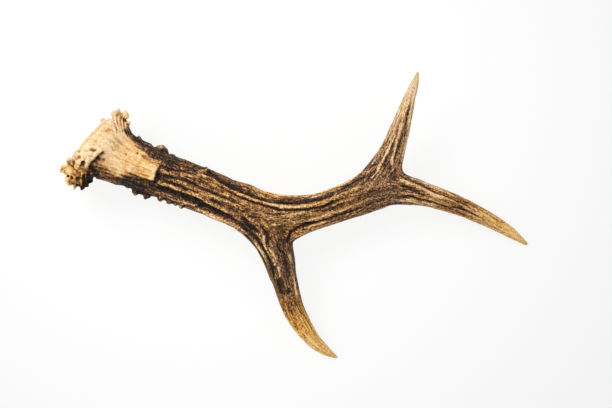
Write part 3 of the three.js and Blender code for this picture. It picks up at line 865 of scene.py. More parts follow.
@dataclass(frozen=True)
class AntlerBone:
    """Weathered antler bone: hard, close-grained, polished on its crests, and dark in its grooves with stain
    and painted shade.

    Attributes:
        name: The material's name.
        dry: Tone and colour of dry bone, from bare to the darkest stain and painted shade at the bottom of a
            groove.
        honey: The same for bone that handling has turned golden.
        fibre: Length, and width twice, of a fibre of the grain, in millimetres.
        speck: The same for a dark speck.
        grit: The same for a grain of the rough skin, drawn coarse enough to show.
        thread: The same for the swirls whose edges are the thin pale lines along the grain.
        fibre_stain: Noise values between which a fibre's stain runs, and the stain at each.
        speck_stain: The same for a speck.
        grit_stain: The same for the grit.
        thread_stain: The same for a thread, by distance from a swirl's edge.
        worn_smooth: Share of these stains that wear takes off.
        pitting: Depth of the finest pits, in millimetres.
        pit_strength: How strongly the pits catch the light.
        crest_roughness: Roughness where the bone is rubbed pale.
        groove_roughness: Roughness where the stain lies.
        gloss_tones: Tones between which the roughness runs.
        refraction: Refractive index of bone.
        sheen: How strongly the bone mirrors.
    """

    name: str = "weathered_antler_bone"
    dry: tuple[tuple[float, str], ...] = (
        (0.00, "f2dcbc"),
        (0.14, "dfbe93"),
        (0.28, "c39a6c"),
        (0.44, "916a48"),
        (0.60, "644631"),
        (0.78, "3b281d"),
        (1.00, "170e0a"),
    )
    honey: tuple[tuple[float, str], ...] = (
        (0.00, "f8d28c"),
        (0.14, "edb252"),
        (0.28, "d2902e"),
        (0.44, "a26826"),
        (0.60, "6c4722"),
        (0.78, "3e2716"),
        (1.00, "180e08"),
    )
    fibre: tuple[float, float, float] = (8.0, 0.8, 0.8)
    speck: tuple[float, float, float] = (1.6, 0.8, 0.8)
    grit: tuple[float, float, float] = (0.8, 0.55, 0.55)
    thread: tuple[float, float, float] = (22.0, 2.2, 2.2)
    fibre_stain: tuple[float, float, float, float] = (0.34, 0.66, -0.13, 0.13)
    speck_stain: tuple[float, float, float, float] = (0.48, 0.70, -0.04, 0.21)
    grit_stain: tuple[float, float, float, float] = (0.34, 0.66, -0.24, 0.24)
    thread_stain: tuple[float, float, float, float] = (0.0, 0.03, -0.2, 0.0)
    worn_smooth: float = 0.68
    pitting: float = 0.4
    pit_strength: float = 0.6
    crest_roughness: float = 0.45
    groove_roughness: float = 0.75
    gloss_tones: tuple[float, float] = (0.1, 0.8)
    refraction: float = 1.54
    sheen: float = 0.16

    def ramp(
        self, tree: bpy.types.NodeTree, tone: bpy.types.NodeSocket, stops: tuple[tuple[float, str], ...]
    ) -> bpy.types.NodeSocket:
        """Adds a colour ramp.

        Args:
            tree: The material's node tree.
            tone: The socket that drives the ramp.
            stops: Tone and hex colour of each stop.

        Returns:
            The ramp's colour.
        """
        node = add_node(tree, "ShaderNodeValToRGB", {"Fac": tone})
        for _ in range(len(stops) - 2):
            node.color_ramp.elements.new(0.5)
        for element, (at, code) in zip(node.color_ramp.elements, stops):
            element.position = at
            element.color = linear_colour(code)
        return node.outputs["Color"]

    def noise(self, tree: bpy.types.NodeTree, size: tuple[float, float, float]) -> bpy.types.NodeSocket:
        """Adds a noise that follows the grain.

        Args:
            tree: The material's node tree.
            size: Size of one patch along the grain and across it, in millimetres.

        Returns:
            The noise, about 0.5.
        """
        grain = add_node(tree, "ShaderNodeAttribute", attribute_name="grain")
        shares = tuple(1.0 / length for length in size)
        placed = add_node(tree, "ShaderNodeMapping", {"Vector": grain.outputs["Vector"], "Scale": shares})
        inputs = {"Vector": placed.outputs[0], "Scale": 1.0, "Detail": 1.0}
        return add_node(tree, "ShaderNodeTexNoise", inputs).outputs["Fac"]

    def sum_of(
        self, tree: bpy.types.NodeTree, first: object, by: object, then: object
    ) -> bpy.types.NodeSocket:
        """Adds a node that multiplies two values and adds a third."""
        node = add_node(tree, "ShaderNodeMath", {0: first, 1: by, 2: then}, operation="MULTIPLY_ADD")
        return node.outputs[0]

    def material(self) -> bpy.types.Material:
        """Builds the material, which reads the stain, painted shade and grain that the sculpted mesh carries.

        Returns:
            The material.
        """
        # The eye gets dull, close-grained bone: grooves dark with stain and painted shade, and pale crests
        # with a faint sheen.
        made = bpy.data.materials.new(self.name)
        made.use_nodes = True
        tree = made.node_tree
        shader = tree.nodes["Principled BSDF"]
        tone = add_node(tree, "ShaderNodeAttribute", attribute_name="tone").outputs["Fac"]
        honey = add_node(tree, "ShaderNodeAttribute", attribute_name="honey").outputs["Fac"]
        wear = add_node(tree, "ShaderNodeAttribute", attribute_name="wear").outputs["Fac"]
        fibres = spread(tree, self.noise(tree, self.fibre), self.fibre_stain)
        specks = spread(tree, self.noise(tree, self.speck), self.speck_stain)
        grit = spread(tree, self.noise(tree, self.grit), self.grit_stain)
        swirl = self.sum_of(tree, self.noise(tree, self.thread), 1.0, -0.5)
        edge = add_node(tree, "ShaderNodeMath", {0: swirl}, operation="ABSOLUTE").outputs[0]
        threads = spread(tree, edge, self.thread_stain)
        fine = self.sum_of(tree, grit, 1.0, self.sum_of(tree, specks, 1.0, fibres))
        drawn = self.sum_of(tree, threads, 1.0, fine)
        amount = self.sum_of(tree, wear, -self.worn_smooth, 1.0)
        level = self.sum_of(tree, drawn, amount, tone)
        mixed = add_node(tree, "ShaderNodeMix", {"Factor": honey}, data_type="RGBA")
        tree.links.new(self.ramp(tree, level, self.dry), mixed.inputs[6])
        tree.links.new(self.ramp(tree, level, self.honey), mixed.inputs[7])
        tree.links.new(mixed.outputs[2], shader.inputs["Base Color"])
        gloss = (*self.gloss_tones, self.crest_roughness, self.groove_roughness)
        tree.links.new(spread(tree, level, gloss), shader.inputs["Roughness"])
        sunk = self.sum_of(tree, fine, -1.0, 0.0)
        pits = {"Height": sunk, "Strength": self.pit_strength, "Distance": self.pitting * MM}
        tree.links.new(add_node(tree, "ShaderNodeBump", pits).outputs[0], shader.inputs["Normal"])
        shader.inputs["IOR"].default_value = self.refraction
        shader.inputs["Specular IOR Level"].default_value = self.sheen
        return made


@dataclass
class Antler:
    """The whole antler: modelled, sculpted and stained as one bone, then parted at its forks.

    Attributes:
        bone: The finish of the bone.
        blank_voxel: Size of the blank's faces, in millimetres.
        skin_voxel: Size of the sculpted skin's faces, in millimetres.
        fork_rounding: Reach of the rounding where branches meet.
        knob_rounding: Reach of the rounding where knobs and pearls meet the bone.
        knob_roughness: How far a knob's skin strays from a sphere.
        knob_grain: Size of the bumps that make it stray.
        notch_rounding: Reach of the rounding at the edges of a notch.
        seal_rounding: Reach of the rounding at the seal's edge.
        seal_waves: Height and width of the waves in the seal.
        burr_blank: Radius and depth of the disc that the burr is shaped from.
        settle_limit: How far the skin is drawn at once.
        hollow_stain_and_shade: Stain and painted shade for each millimetre of hollow, how often the depth is
            evened
        out, and the least and most of it, for narrow hollows and for wide ones; below 0, crests come out
        paler.
        seed: Picks the pattern of the grain.
    """

    bone: AntlerBone = field(default_factory=AntlerBone)
    blank_voxel: float = 0.8
    skin_voxel: float = 0.46
    fork_rounding: float = 3.0
    knob_rounding: float = 0.7
    knob_roughness: float = 0.55
    knob_grain: float = 1.5
    notch_rounding: float = 0.6
    seal_rounding: float = 1.0
    seal_waves: tuple[float, float] = (0.6, 5.0)
    burr_blank: tuple[float, float] = (17.5, 9.0)
    settle_limit: float = 2.0
    hollow_stain_and_shade: tuple[tuple[float, int, float, float], ...] = ((1.8, 2, -0.16, 0.34), (5.0, 12, -0.1, 0.2))
    seed: int = 7

    def body(self, points: Array) -> Array:
        """Signed distance to the antler without its knobs and pearls.

        Args:
            points: Places in the stations' frame, one row each.

        Returns:
            The distance at each place.
        """
        joined = BEAM.read(points).distance
        for branch in (FRONT_TINE, REAR_TINE, *WEBS):
            joined = smooth_union(joined, branch.read(points).distance, self.fork_rounding)
        joined = smooth_union(joined, BURR.collar(points), 2 * self.fork_rounding)
        height, width = self.seal_waves
        uneven = height * lattice_noise(points / width, self.seed + 31)
        return -smooth_union(-joined, -(BURR.before_seal(points) + uneven), self.seal_rounding)

    def landed(self, lump: Lump) -> tuple[float, float, float, float]:
        """Drops a lump from the eye on to the body, or beside it where the eye looks past the body's edge.

        Args:
            lump: The lump to place.

        Returns:
            The lump's centre and radius.
        """
        heights = np.arange(42.0, 6.0, -0.2)
        rising = 1.0 - heights[:, None] / EYE[2]
        ray = np.column_stack((np.array(lump.seen) * rising + EYE[:2], heights))
        gaps = self.body(ray)
        hit = np.flatnonzero(gaps <= 0.0)
        if len(hit) == 0:
            return (*ray[int(gaps.argmin())], lump.radius)
        spot = ray[hit[0]]
        probes = np.vstack((spot, spot + 0.2 * np.eye(3)))
        values = self.body(probes)
        slope = (values[1:] - values[0]) / 0.2
        slope /= np.linalg.norm(slope) + 1e-9
        return (*(spot - slope * (values[0] + lump.sunk * lump.radius)), lump.radius)

    def all_lumps(self) -> Array:
        """Centre and radius of every knob and pearl."""
        chance = np.random.default_rng(self.seed)
        line = BEAM.samples()
        steps = np.linalg.norm(np.diff(line[:, :3], axis=0), axis=1)
        along = np.concatenate(((0.0,), np.cumsum(steps)))
        hidden = []
        for _ in range(UNDER_PEARL_COUNT):
            sample = line[np.searchsorted(along, chance.uniform(*UNDER_PEARL_REACH))]
            angle = math.radians(chance.uniform(*UNDER_PEARL_ANGLES))
            radius = chance.uniform(*UNDER_PEARL_RADII)
            sunk = UNDER_PEARL_SUNK * radius
            spot = sample[:3] + BEAM_ACROSS * (sample[3] - sunk) * math.cos(angle)
            spot[2] += (sample[4] - sunk) * math.sin(angle)
            hidden.append((*spot, radius))
        shown = [self.landed(lump) for lump in (*BURR_KNOBS, *EDGE_PEARLS)]
        return np.vstack((np.array(shown), BURR.hidden_knobs(), np.array(hidden)))

    def form(self, points: Array, lumps: Array) -> Array:
        """Signed distance to the antler's large forms.

        Args:
            points: Places in the stations' frame, one row each.
            lumps: Centre and radius of every knob and pearl.

        Returns:
            The distance at each place.
        """
        joined = self.body(points)
        rough = points + self.knob_roughness * np.column_stack(
            [lattice_noise(points / self.knob_grain, self.seed + number) for number in (41, 42, 43)]
        )
        for x, y, z, radius in lumps:
            reach = radius + 4.0
            close = np.flatnonzero((np.abs(points - (x, y, z)) < reach).all(axis=1))
            lump = np.linalg.norm(rough[close] - (x, y, z), axis=1) - radius
            joined[close] = smooth_union(joined[close], lump, self.knob_rounding)
        seen = seen_from_eye(points)
        for start, end, width in BURR_NOTCHES:
            run = np.subtract(end, start)
            share = np.clip((seen - start) @ run / (run @ run), 0.0, 1.0)
            gap = np.linalg.norm(seen - start - share[:, None] * run, axis=1) - width
            joined = -smooth_union(-joined, gap, self.notch_rounding)
        return joined

    def blank(self, lumps: Array) -> bpy.types.Object:
        """Models the rough blank: a ring drawn out along each branch, a disc for the burr, and lumps.

        Args:
            lumps: Centre and radius of every knob and pearl.

        Returns:
            The blank as one mesh.
        """
        pieces = [self.drawn_out(branch) for branch in (BEAM, FRONT_TINE, REAR_TINE, *WEBS)]
        facing, _ = BURR.axes()
        radius, depth = self.burr_blank
        bpy.ops.mesh.primitive_cylinder_add(
            vertices=48,
            radius=radius * MM,
            depth=depth * MM,
            location=Vector(BURR.centre) * MM,
            rotation=Vector(facing).to_track_quat("Z", "Y").to_euler(),
        )
        bpy.ops.object.mode_set(mode="EDIT")
        bpy.ops.mesh.select_all(action="SELECT")
        bpy.ops.transform.resize(
            value=(1.0, 1.0, BURR.near_squash), orient_type="GLOBAL", center_override=Vector(BURR.centre) * MM
        )
        bpy.ops.object.mode_set(mode="OBJECT")
        pieces.append(bpy.context.object)
        for x, y, z, radius in lumps:
            bpy.ops.mesh.primitive_ico_sphere_add(
                subdivisions=2, radius=radius * MM, location=(x * MM, y * MM, z * MM)
            )
            pieces.append(bpy.context.object)
        bpy.ops.object.select_all(action="DESELECT")
        for piece in pieces:
            piece.select_set(True)
        bpy.context.view_layer.objects.active = pieces[0]
        bpy.ops.object.join()
        bpy.ops.object.transform_apply(location=True, rotation=True, scale=True)
        blank = bpy.context.object
        blank.name = "antler"
        return blank

    def drawn_out(self, branch: Branch) -> bpy.types.Object:
        """Extrudes a ring along a branch, turning and narrowing it at each step.

        Args:
            branch: The branch to follow.

        Returns:
            A closed tube, nearly the branch's size.
        """
        line = branch.samples()[:: branch.steps // 2]
        headings = [math.atan2(run[1], run[0]) for run in np.gradient(line[:, :2], axis=0)]
        sizes = line[:, 3:5].mean(axis=1)
        bpy.ops.object.select_all(action="DESELECT")
        bpy.ops.mesh.primitive_circle_add(
            vertices=24,
            radius=sizes[0] * MM,
            fill_type="NGON",
            location=line[0, :3] * MM,
            rotation=(math.pi / 2.0, 0.0, headings[0] + math.pi / 2.0),
        )
        bpy.ops.object.transform_apply(location=True, rotation=True, scale=True)
        bpy.ops.object.mode_set(mode="EDIT")
        bpy.ops.mesh.select_all(action="SELECT")
        for index in range(1, len(line)):
            centre = line[index, :3] * MM
            step = centre - line[index - 1, :3] * MM
            bpy.ops.mesh.extrude_region_move(TRANSFORM_OT_translate={"value": step})
            growth = sizes[index] / sizes[index - 1]
            bpy.ops.transform.resize(value=(growth, growth, growth), center_override=centre)
            turn = headings[index - 1] - headings[index]
            bpy.ops.transform.rotate(value=turn, orient_axis="Z", center_override=centre)
        bpy.ops.mesh.select_all(action="SELECT")
        bpy.ops.mesh.normals_make_consistent(inside=False)
        bpy.ops.object.mode_set(mode="OBJECT")
        return bpy.context.object

    def remesh(self, bone: bpy.types.Object, voxel: float) -> None:
        """Gives the bone a new even skin.

        Args:
            bone: The object to work on.
            voxel: Size of the new faces, in millimetres.
        """
        modifier = bone.modifiers.new("even_skin", "REMESH")
        modifier.mode = "VOXEL"
        modifier.voxel_size = voxel * MM
        modifier.use_smooth_shade = True
        bpy.context.view_layer.objects.active = bone
        bpy.ops.object.modifier_apply(modifier=modifier.name)

    def places(self, bone: bpy.types.Object) -> Array:
        """The bone's vertices in the stations' frame."""
        flat = np.zeros(len(bone.data.vertices) * 3)
        bone.data.vertices.foreach_get("co", flat)
        return flat.reshape(-1, 3) / MM

    def normals(self, bone: bpy.types.Object) -> Array:
        """The bone's vertex normals."""
        flat = np.zeros(len(bone.data.vertices) * 3, np.float32)
        bone.data.vertex_normals.foreach_get("vector", flat)
        return flat.reshape(-1, 3).astype(float)

    def move(self, bone: bpy.types.Object, places: Array) -> None:
        """Puts the bone's vertices at new places in the stations' frame."""
        bone.data.vertices.foreach_set("co", (places * MM).ravel())
        bone.data.update()

    def pressed(self, places: Array) -> Array:
        """Flattens whatever dips below the table on to it."""
        return np.column_stack((places[:, :2], np.maximum(places[:, 2], 0.0)))

    def settle(self, bone: bpy.types.Object, lumps: Array, rounds: int) -> None:
        """Draws the skin on to the antler's large forms.

        Args:
            bone: The object to work on.
            lumps: Centre and radius of every knob and pearl.
            rounds: How often the skin is drawn on.
        """
        for _ in range(rounds):
            places = self.places(bone)
            gap = np.clip(self.form(places, lumps), -self.settle_limit, self.settle_limit)
            self.move(bone, places - self.normals(bone) * gap[:, None])

    def hollows(self, bone: bpy.types.Object, rounds: int) -> Array:
        """How far each vertex lies below its neighbours, smoothed over the skin.

        Args:
            bone: The object to work on.
            rounds: How often the values are averaged with their neighbours'.

        Returns:
            Depth in millimetres, below 0 on crests.
        """
        places, normals = self.places(bone), self.normals(bone)
        ends = np.zeros(len(bone.data.edges) * 2, np.int32)
        bone.data.edges.foreach_get("vertices", ends)
        first, second = ends.reshape(-1, 2).T
        count = len(places)
        degree = np.maximum(np.bincount(first, minlength=count) + np.bincount(second, minlength=count), 1)
        rise = np.einsum("ij,ij->i", places[second] - places[first], normals[first])
        fall = np.einsum("ij,ij->i", places[first] - places[second], normals[second])
        depth = np.bincount(first, rise, count) + np.bincount(second, fall, count)
        depth /= degree
        for _ in range(rounds):
            spread = np.bincount(first, depth[second], count) + np.bincount(second, depth[first], count)
            depth = 0.5 * depth + 0.5 * spread / degree
        return depth

    def sculpt(self, bone: bpy.types.Object) -> None:
        """Raises the fine relief and writes the stain, the painted shade and the grain that the finish reads.

        Args:
            bone: The settled skin.
        """
        places = self.places(bone)
        normals = self.normals(bone)
        upward = smooth_step(normals[:, 2], -0.1, 0.3)
        facing_up = smooth_step(normals[:, 2], -0.4, 0.0)
        seen = seen_from_eye(places)
        weights, readings = [], []
        for branch in (BEAM, FRONT_TINE, REAR_TINE):
            reading = branch.read(places)
            readings.append(reading)
            weights.append(np.exp(-np.clip(reading.distance, 0.0, 30.0) / 0.8))
        total = np.sum(weights, axis=0) + 1e-12
        tone, honey, relief = np.zeros((3, len(places)))
        grain = np.zeros((len(places), 3))
        for index, (weight, reading) in enumerate(zip(weights, readings)):
            share = weight / total
            ring = np.column_stack((np.cos(reading.angle), np.sin(reading.angle))) * 10.0
            flow = np.column_stack((reading.along + 400.0 * index, ring))
            height, stain = self.grain_relief(flow)
            relief += share * height
            tone += share * (reading.tone + stain)
            honey += share * reading.honey
            nearest = weight >= np.max(weights, axis=0)
            grain[nearest] = flow[nearest]
        bare = self.bare_share(places, normals, seen, grain)
        seal = self.seal_share(places, normals)
        relief *= 1.0 - 0.7 * bare
        relief += seal * (self.seal_relief(places) - relief)
        tone = tone * (1.0 - bare) + bare * self.bare_tone(places, seen, grain)
        honey += 0.3 * lattice_noise(grain / (16.0, 4.0, 4.0), self.seed + 24)
        honey = honey * (1.0 - bare) + bare * self.bare_honey(seen)
        wavy = seen + 0.45 * np.column_stack(
            [lattice_noise(grain / (4.0, 2.0, 2.0), self.seed + number) for number in (21, 22)]
        )
        broken = 0.72 + 0.5 * lattice_noise(grain / (4.5, 1.2, 1.2), self.seed + 23)
        for stroke in STROKES:
            shown = stroke.strength(wavy) * (1.0 - seal)
            relief += stroke.height * shown * upward * (0.5 + 0.5 * broken)
            tone += stroke.tone * shown * facing_up * broken
        grain += seal[:, None] * (places - grain)
        relief += self.plate_relief(seen) * upward
        crumbs = np.clip(1.7 * lattice_noise(places / 1.4, self.seed + 17), -1.0, 1.0)
        crumbling = crumbs * CRUMBS.strength(seen) * (1.0 - seal)
        relief += CRUMBS.height * crumbling
        tone += CRUMBS.tone * crumbling
        self.move(bone, places + normals * relief[:, None])
        # Painted shade with some real stain: the deeper a vertex lies below its neighbours, the darker it is
        # painted, and crests come out a little paler.
        for stain, rounds, least, most in self.hollow_stain_and_shade:
            tone += np.clip(stain * self.hollows(bone, rounds), least, most)
        mesh = bone.data
        for name, values in (("tone", np.clip(tone, 0.0, 1.0)), ("honey", honey), ("wear", bare)):
            mesh.attributes.new(name, "FLOAT", "POINT").data.foreach_set("value", values)
        mesh.attributes.new("grain", "FLOAT_VECTOR", "POINT").data.foreach_set("vector", grain.ravel())
        LOG.info("relief from %.2f to %.2f mm", relief.min(), relief.max())

    def grain_relief(self, flow: Array) -> tuple[Array, Array]:
        """Long ridges, streaks and pits that run with the grain.

        Args:
            flow: Places in the branch's own frame: along it, and round it on a ring of fixed size.

        Returns:
            The height of the relief, and how much darker the bone is there.
        """
        sway = lattice_noise(flow / (18.0, 9.0, 9.0), self.seed + 1)[:, None]
        bent = flow + sway * (0.0, 1.2, 1.2)
        ridges = lattice_noise(bent / (30.0, 2.4, 2.4), self.seed + 2)
        streaks = lattice_noise(bent / (11.0, 1.2, 1.2), self.seed + 3)
        pits = smooth_step(lattice_noise(bent / (2.4, 1.1, 1.1), self.seed + 5), 0.1, 0.7)
        height = 0.26 * ridges + 0.2 * streaks - 0.2 * pits
        stain = -0.07 * ridges - 0.08 * streaks + 0.1 * pits
        return height, stain

    def seal_share(self, places: Array, normals: Array) -> Array:
        """How far each vertex belongs to the seal, the face where the antler was shed.

        Args:
            places: Vertices in the stations' frame.
            normals: Their normals.

        Returns:
            From 0 off the seal to 1 on it.
        """
        facing, _ = BURR.axes()
        return smooth_step(BURR.before_seal(places), -2.2, -1.0) * smooth_step(normals @ facing, 0.3, 0.7)

    def seal_relief(self, places: Array) -> Array:
        """Height of the seal's crumbs and pores."""
        crumbs = lattice_noise(places / 2.6, self.seed + 15)
        pores = lattice_noise(places / 1.1, self.seed + 16)
        return 0.3 * crumbs + 0.25 * pores

    def bare_honey(self, seen: Array) -> Array:
        """How golden the bare bone is: most at the burr's lower rim and towards the plate's end."""
        rim = smooth_step(-seen[:, 1], -22.0, -16.0) * smooth_step(-seen[:, 0], 99.0, 106.0)
        return 0.33 + 0.24 * smooth_step(seen[:, 0], -98.0, -80.0) + 0.4 * rim

    def plate_gap(self, seen: Array) -> Array:
        """Signed distance to the outline of the worn plate, below 0 on the plate.

        Args:
            seen: Places on the table behind the skin.

        Returns:
            The distance at each place.
        """
        nearest = np.full(len(seen), np.inf)
        inside = np.zeros(len(seen), bool)
        ends = np.roll(PLATE_OUTLINE, -1, axis=0)
        for start, end in zip(PLATE_OUTLINE, ends):
            run = end - start
            share = np.clip((seen - start) @ run / (run @ run), 0.0, 1.0)
            nearest = np.minimum(nearest, np.linalg.norm(seen - start - share[:, None] * run, axis=1))
            crosses = (start[1] > seen[:, 1]) != (end[1] > seen[:, 1])
            rise = end[1] - start[1] if end[1] != start[1] else 1e-9
            inside ^= crosses & (seen[:, 0] < start[0] + (seen[:, 1] - start[1]) * run[0] / rise)
        return np.where(inside, -nearest, nearest)

    def plate_relief(self, seen: Array) -> Array:
        """Height of the worn plate, whose end stands up as a step.

        Args:
            seen: Places on the table behind the skin.

        Returns:
            The height at each place.
        """
        towards_end = smooth_step(seen[:, 0], -86.0, -77.0) * smooth_step(seen[:, 1], 21.5, 17.5)
        return 1.0 * towards_end * smooth_step(-self.plate_gap(seen), -0.3, 0.5)

    def bare_share(self, places: Array, normals: Array, seen: Array, grain: Array) -> Array:
        """How far the bone is worn bare: on the burr, and on the plate beside it.

        Args:
            places: Vertices in the stations' frame.
            normals: Their normals.
            seen: Where the eye above sees them.
            grain: Their places along and round the branch.

        Returns:
            From 0 where the stain is whole to 1 where the bone is bare.
        """
        ragged = lattice_noise(grain / (8.0, 1.2, 1.2), self.seed + 11)
        burr = smooth_step(BURR.before_seal(places) + 1.5 * ragged, -13.0, -9.0)
        step = smooth_step(seen[:, 0], -80.0, -76.0) * smooth_step(seen[:, 1], 21.5, 17.5)
        soft = 2.6 - 2.0 * step
        depth = -self.plate_gap(seen) + (3.2 - 2.7 * step) * ragged
        plate = smooth_step(depth / soft, -0.8, 1.2)
        return np.maximum(burr, plate * smooth_step(normals[:, 2], 0.0, 0.3))

    def bare_tone(self, places: Array, seen: Array, grain: Array) -> Array:
        """Tone of the bare bone, cream on the burr and honey-coloured towards the plate's end, with painted
        shade low down.

        Args:
            places: Vertices in the stations' frame.
            seen: Where the eye above sees them.
            grain: Their places along and round the branch.

        Returns:
            The tone at each place.
        """
        clouds = lattice_noise(places / 3.5, self.seed + 12)
        crumbs = lattice_noise(places / 1.1, self.seed + 14)
        lines = lattice_noise(grain / (9.0, 0.9, 0.9), self.seed + 13)
        # Painted shade: the lower the bare bone lies, the darker it is painted, as on the underside of the
        # burr's lobes.
        under = smooth_step(22.0 - places[:, 2], 0.0, 14.0)
        ageing = smooth_step(seen[:, 0], -106.0, -78.0)
        return 0.06 + 0.11 * ageing + 0.06 * clouds + 0.06 * crumbs + 0.05 * lines * ageing + 0.3 * under

    def part(self, bone: bpy.types.Object) -> dict[BonePiece, bpy.types.Object]:
        """Cuts the bone at its forks.

        Args:
            bone: The finished whole antler.

        Returns:
            The mesh of each piece.
        """
        pieces = {}
        for cut in FORK_CUTS:
            point = Vector(cut.point) * MM
            leaves = Vector(cut.leaves).normalized()
            bpy.ops.object.select_all(action="DESELECT")
            bone.select_set(True)
            bpy.context.view_layer.objects.active = bone
            centres = np.zeros(len(bone.data.polygons) * 3, np.float32)
            bone.data.polygons.foreach_get("center", centres)
            away = np.linalg.norm(centres.reshape(-1, 3) - np.array(point), axis=1)
            self.select_faces(bone, away < cut.reach * MM)
            bpy.ops.object.mode_set(mode="EDIT")
            bpy.ops.mesh.bisect(plane_co=point, plane_no=leaves, use_fill=False, threshold=1e-7)
            bpy.ops.object.mode_set(mode="OBJECT")
            centres = np.zeros(len(bone.data.polygons) * 3, np.float32)
            bone.data.polygons.foreach_get("center", centres)
            offset = centres.reshape(-1, 3) - np.array(point)
            beyond = offset @ np.array(leaves)
            aside = np.linalg.norm(offset - beyond[:, None] * np.array(leaves), axis=1)
            self.select_faces(bone, (beyond > 0) & (aside < 2 * cut.reach * MM))
            before = set(bpy.data.objects)
            bpy.ops.object.mode_set(mode="EDIT")
            bpy.ops.mesh.separate(type="SELECTED")
            bpy.ops.object.mode_set(mode="OBJECT")
            (tine,) = set(bpy.data.objects) - before
            pieces[cut.piece] = tine
        pieces[BonePiece.MAIN_BEAM] = bone
        for piece, mesh in pieces.items():
            self.close_cut(mesh)
            mesh.name = mesh.data.name = piece.node + "_bone"
        return pieces

    def select_faces(self, bone: bpy.types.Object, chosen: Array) -> None:
        """Selects just the chosen faces of a mesh, for the next operator.

        Args:
            bone: The object to work on.
            chosen: True for each face that is wanted.
        """
        bpy.ops.object.mode_set(mode="EDIT")
        bpy.ops.mesh.select_mode(type="FACE")
        bpy.ops.mesh.select_all(action="DESELECT")
        bpy.ops.object.mode_set(mode="OBJECT")
        bone.data.polygons.foreach_set("select", chosen)
        bone.data.update()

    def close_cut(self, piece: bpy.types.Object) -> None:
        """Fills the openings that the cuts left, with flat faces and sharp edges.

        Args:
            piece: The piece to close.
        """
        bpy.ops.object.select_all(action="DESELECT")
        piece.select_set(True)
        bpy.context.view_layer.objects.active = piece
        count = len(piece.data.polygons)
        bpy.ops.object.mode_set(mode="EDIT")
        bpy.ops.mesh.select_mode(type="EDGE")
        bpy.ops.mesh.select_all(action="DESELECT")
        bpy.ops.mesh.select_non_manifold(extend=False, use_wire=False, use_multi_face=False)
        bpy.ops.mesh.fill_holes(sides=0)
        bpy.ops.object.mode_set(mode="OBJECT")
        smooth = np.arange(len(piece.data.polygons)) < count
        piece.data.polygons.foreach_set("use_smooth", smooth)
        piece.data.update()

    def build(self) -> dict[BonePiece, bpy.types.Object]:
        """Models, sculpts, dresses and parts the antler.

        Returns:
            The mesh of each piece.
        """
        lumps = self.all_lumps()
        bone = self.blank(lumps)
        self.remesh(bone, self.blank_voxel)
        self.settle(bone, lumps, 4)
        self.remesh(bone, self.skin_voxel)
        self.settle(bone, lumps, 2)
        self.sculpt(bone)
        self.move(bone, self.pressed(self.places(bone) + STATION_ORIGIN))
        finish = self.bone.material()
        bone.data.materials.clear()
        bone.data.materials.append(finish)
        return self.part(bone)


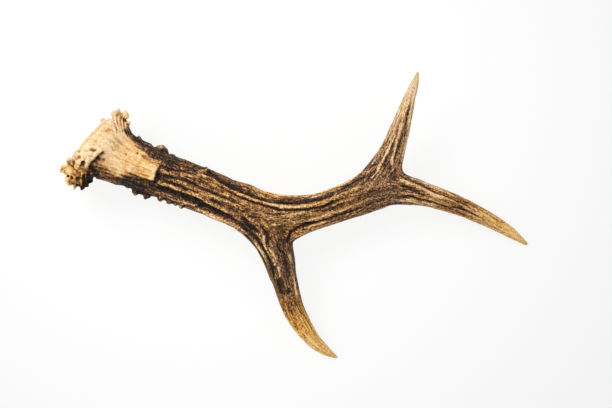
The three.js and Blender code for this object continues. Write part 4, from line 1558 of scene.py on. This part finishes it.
@dataclass
class Studio:
    """The pale table, the soft light over it and the camera above.

    Attributes:
        table_size: Width of the table, in metres.
        table_colour: The table's colour.
        painted_table_glow: Strength of the glow painted into the table, which keeps it white and washes out
            the shadow.
        glow_middle: Where the painted glow is strongest, in metres.
        glow_reach: Distances from there at which the glow starts to fade and is at its lowest, in metres.
        glow_loss: How much of the painted glow is lost towards the edges.
        table_roughness: The table's roughness.
        table_sheen: How strongly the table mirrors.
        key_place: Where the large soft light hangs at the upper left, in metres.
        key_size: Width of that light, in metres.
        key_energy: Power of that light, in watts.
        sky: Brightness of the white room.
    """

    table_size: float = 4.0
    table_colour: str = "686868"
    painted_table_glow: float = 0.845
    glow_middle: tuple[float, float, float] = (-0.04, 0.06, 0.0)
    glow_reach: tuple[float, float] = (0.11, 0.24)
    glow_loss: float = 0.1
    table_roughness: float = 0.85
    table_sheen: float = 0.2
    key_place: tuple[float, float, float] = (-0.75, 0.62, 0.95)
    key_size: float = 0.7
    key_energy: float = 9.0
    sky: float = 0.8

    def table(self) -> bpy.types.Object:
        """Lays the table under the antler.

        Returns:
            The table.
        """
        bpy.ops.object.select_all(action="DESELECT")
        bpy.ops.mesh.primitive_plane_add(size=self.table_size, location=(0.0, 0.0, 0.0))
        table = bpy.context.object
        table.name = "table"
        # Painted light: the table glows by itself, white without an edge, so that the antler's shadow hardly
        # shows.
        made = bpy.data.materials.new("painted_glow_table")
        made.use_nodes = True
        tree = made.node_tree
        shader = tree.nodes["Principled BSDF"]
        shader.inputs["Base Color"].default_value = linear_colour(self.table_colour)
        shader.inputs["Roughness"].default_value = self.table_roughness
        shader.inputs["Specular IOR Level"].default_value = self.table_sheen
        shader.inputs["Emission Color"].default_value = WHITE
        # Painted falloff: the glow weakens away from glow_middle, so the table darkens a little towards its
        # corners.
        place = add_node(tree, "ShaderNodeNewGeometry").outputs["Position"]
        away = add_node(tree, "ShaderNodeVectorMath", {0: place, 1: self.glow_middle}, operation="DISTANCE")
        bounds = (*self.glow_reach, self.painted_table_glow, self.painted_table_glow - self.glow_loss)
        tree.links.new(spread(tree, away.outputs["Value"], bounds), shader.inputs["Emission Strength"])
        table.data.materials.append(made)
        return table

    def light(self) -> None:
        """Hangs the key light at the upper left and brightens the room."""
        bpy.ops.object.light_add(type="AREA", location=self.key_place)
        key = bpy.context.object
        key.name = "window"
        key.data.shape = "DISK"
        key.data.size = self.key_size
        key.data.energy = self.key_energy
        key.rotation_euler = (-Vector(self.key_place)).to_track_quat("-Z", "Y").to_euler()
        world = bpy.data.worlds.new("white_room")
        world.use_nodes = True
        room = world.node_tree.nodes["Background"]
        room.inputs["Color"].default_value = WHITE
        room.inputs["Strength"].default_value = self.sky
        bpy.context.scene.world = world
        bpy.context.scene.view_settings.view_transform = "Standard"

    def camera(self) -> None:
        """Sets the camera straight above, at the eye that the upper face was drawn from."""
        place = (EYE + STATION_ORIGIN) * MM
        bpy.ops.object.camera_add(location=place, rotation=(0.0, 0.0, 0.0))
        camera = bpy.context.object
        camera.name = "eye_above"
        camera.data.sensor_width = 36.0
        camera.data.lens = camera.data.sensor_width * EYE[2] / VIEW_WIDTH
        bpy.context.scene.camera = camera


def main() -> None:
    """Builds the antler over its frame, dresses it and sets the studio."""
    logging.basicConfig(level=logging.INFO, format="%(name)s: %(message)s")
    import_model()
    for piece, mesh in Antler().build().items():
        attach(mesh, "root")
        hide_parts(piece.node)
        LOG.info("%s has %d faces, low %.2f mm", mesh.name, len(mesh.data.polygons), lowest(mesh))
    studio = Studio()
    studio.table()
    studio.light()
    studio.camera()


if __name__ == "__main__":
    main()
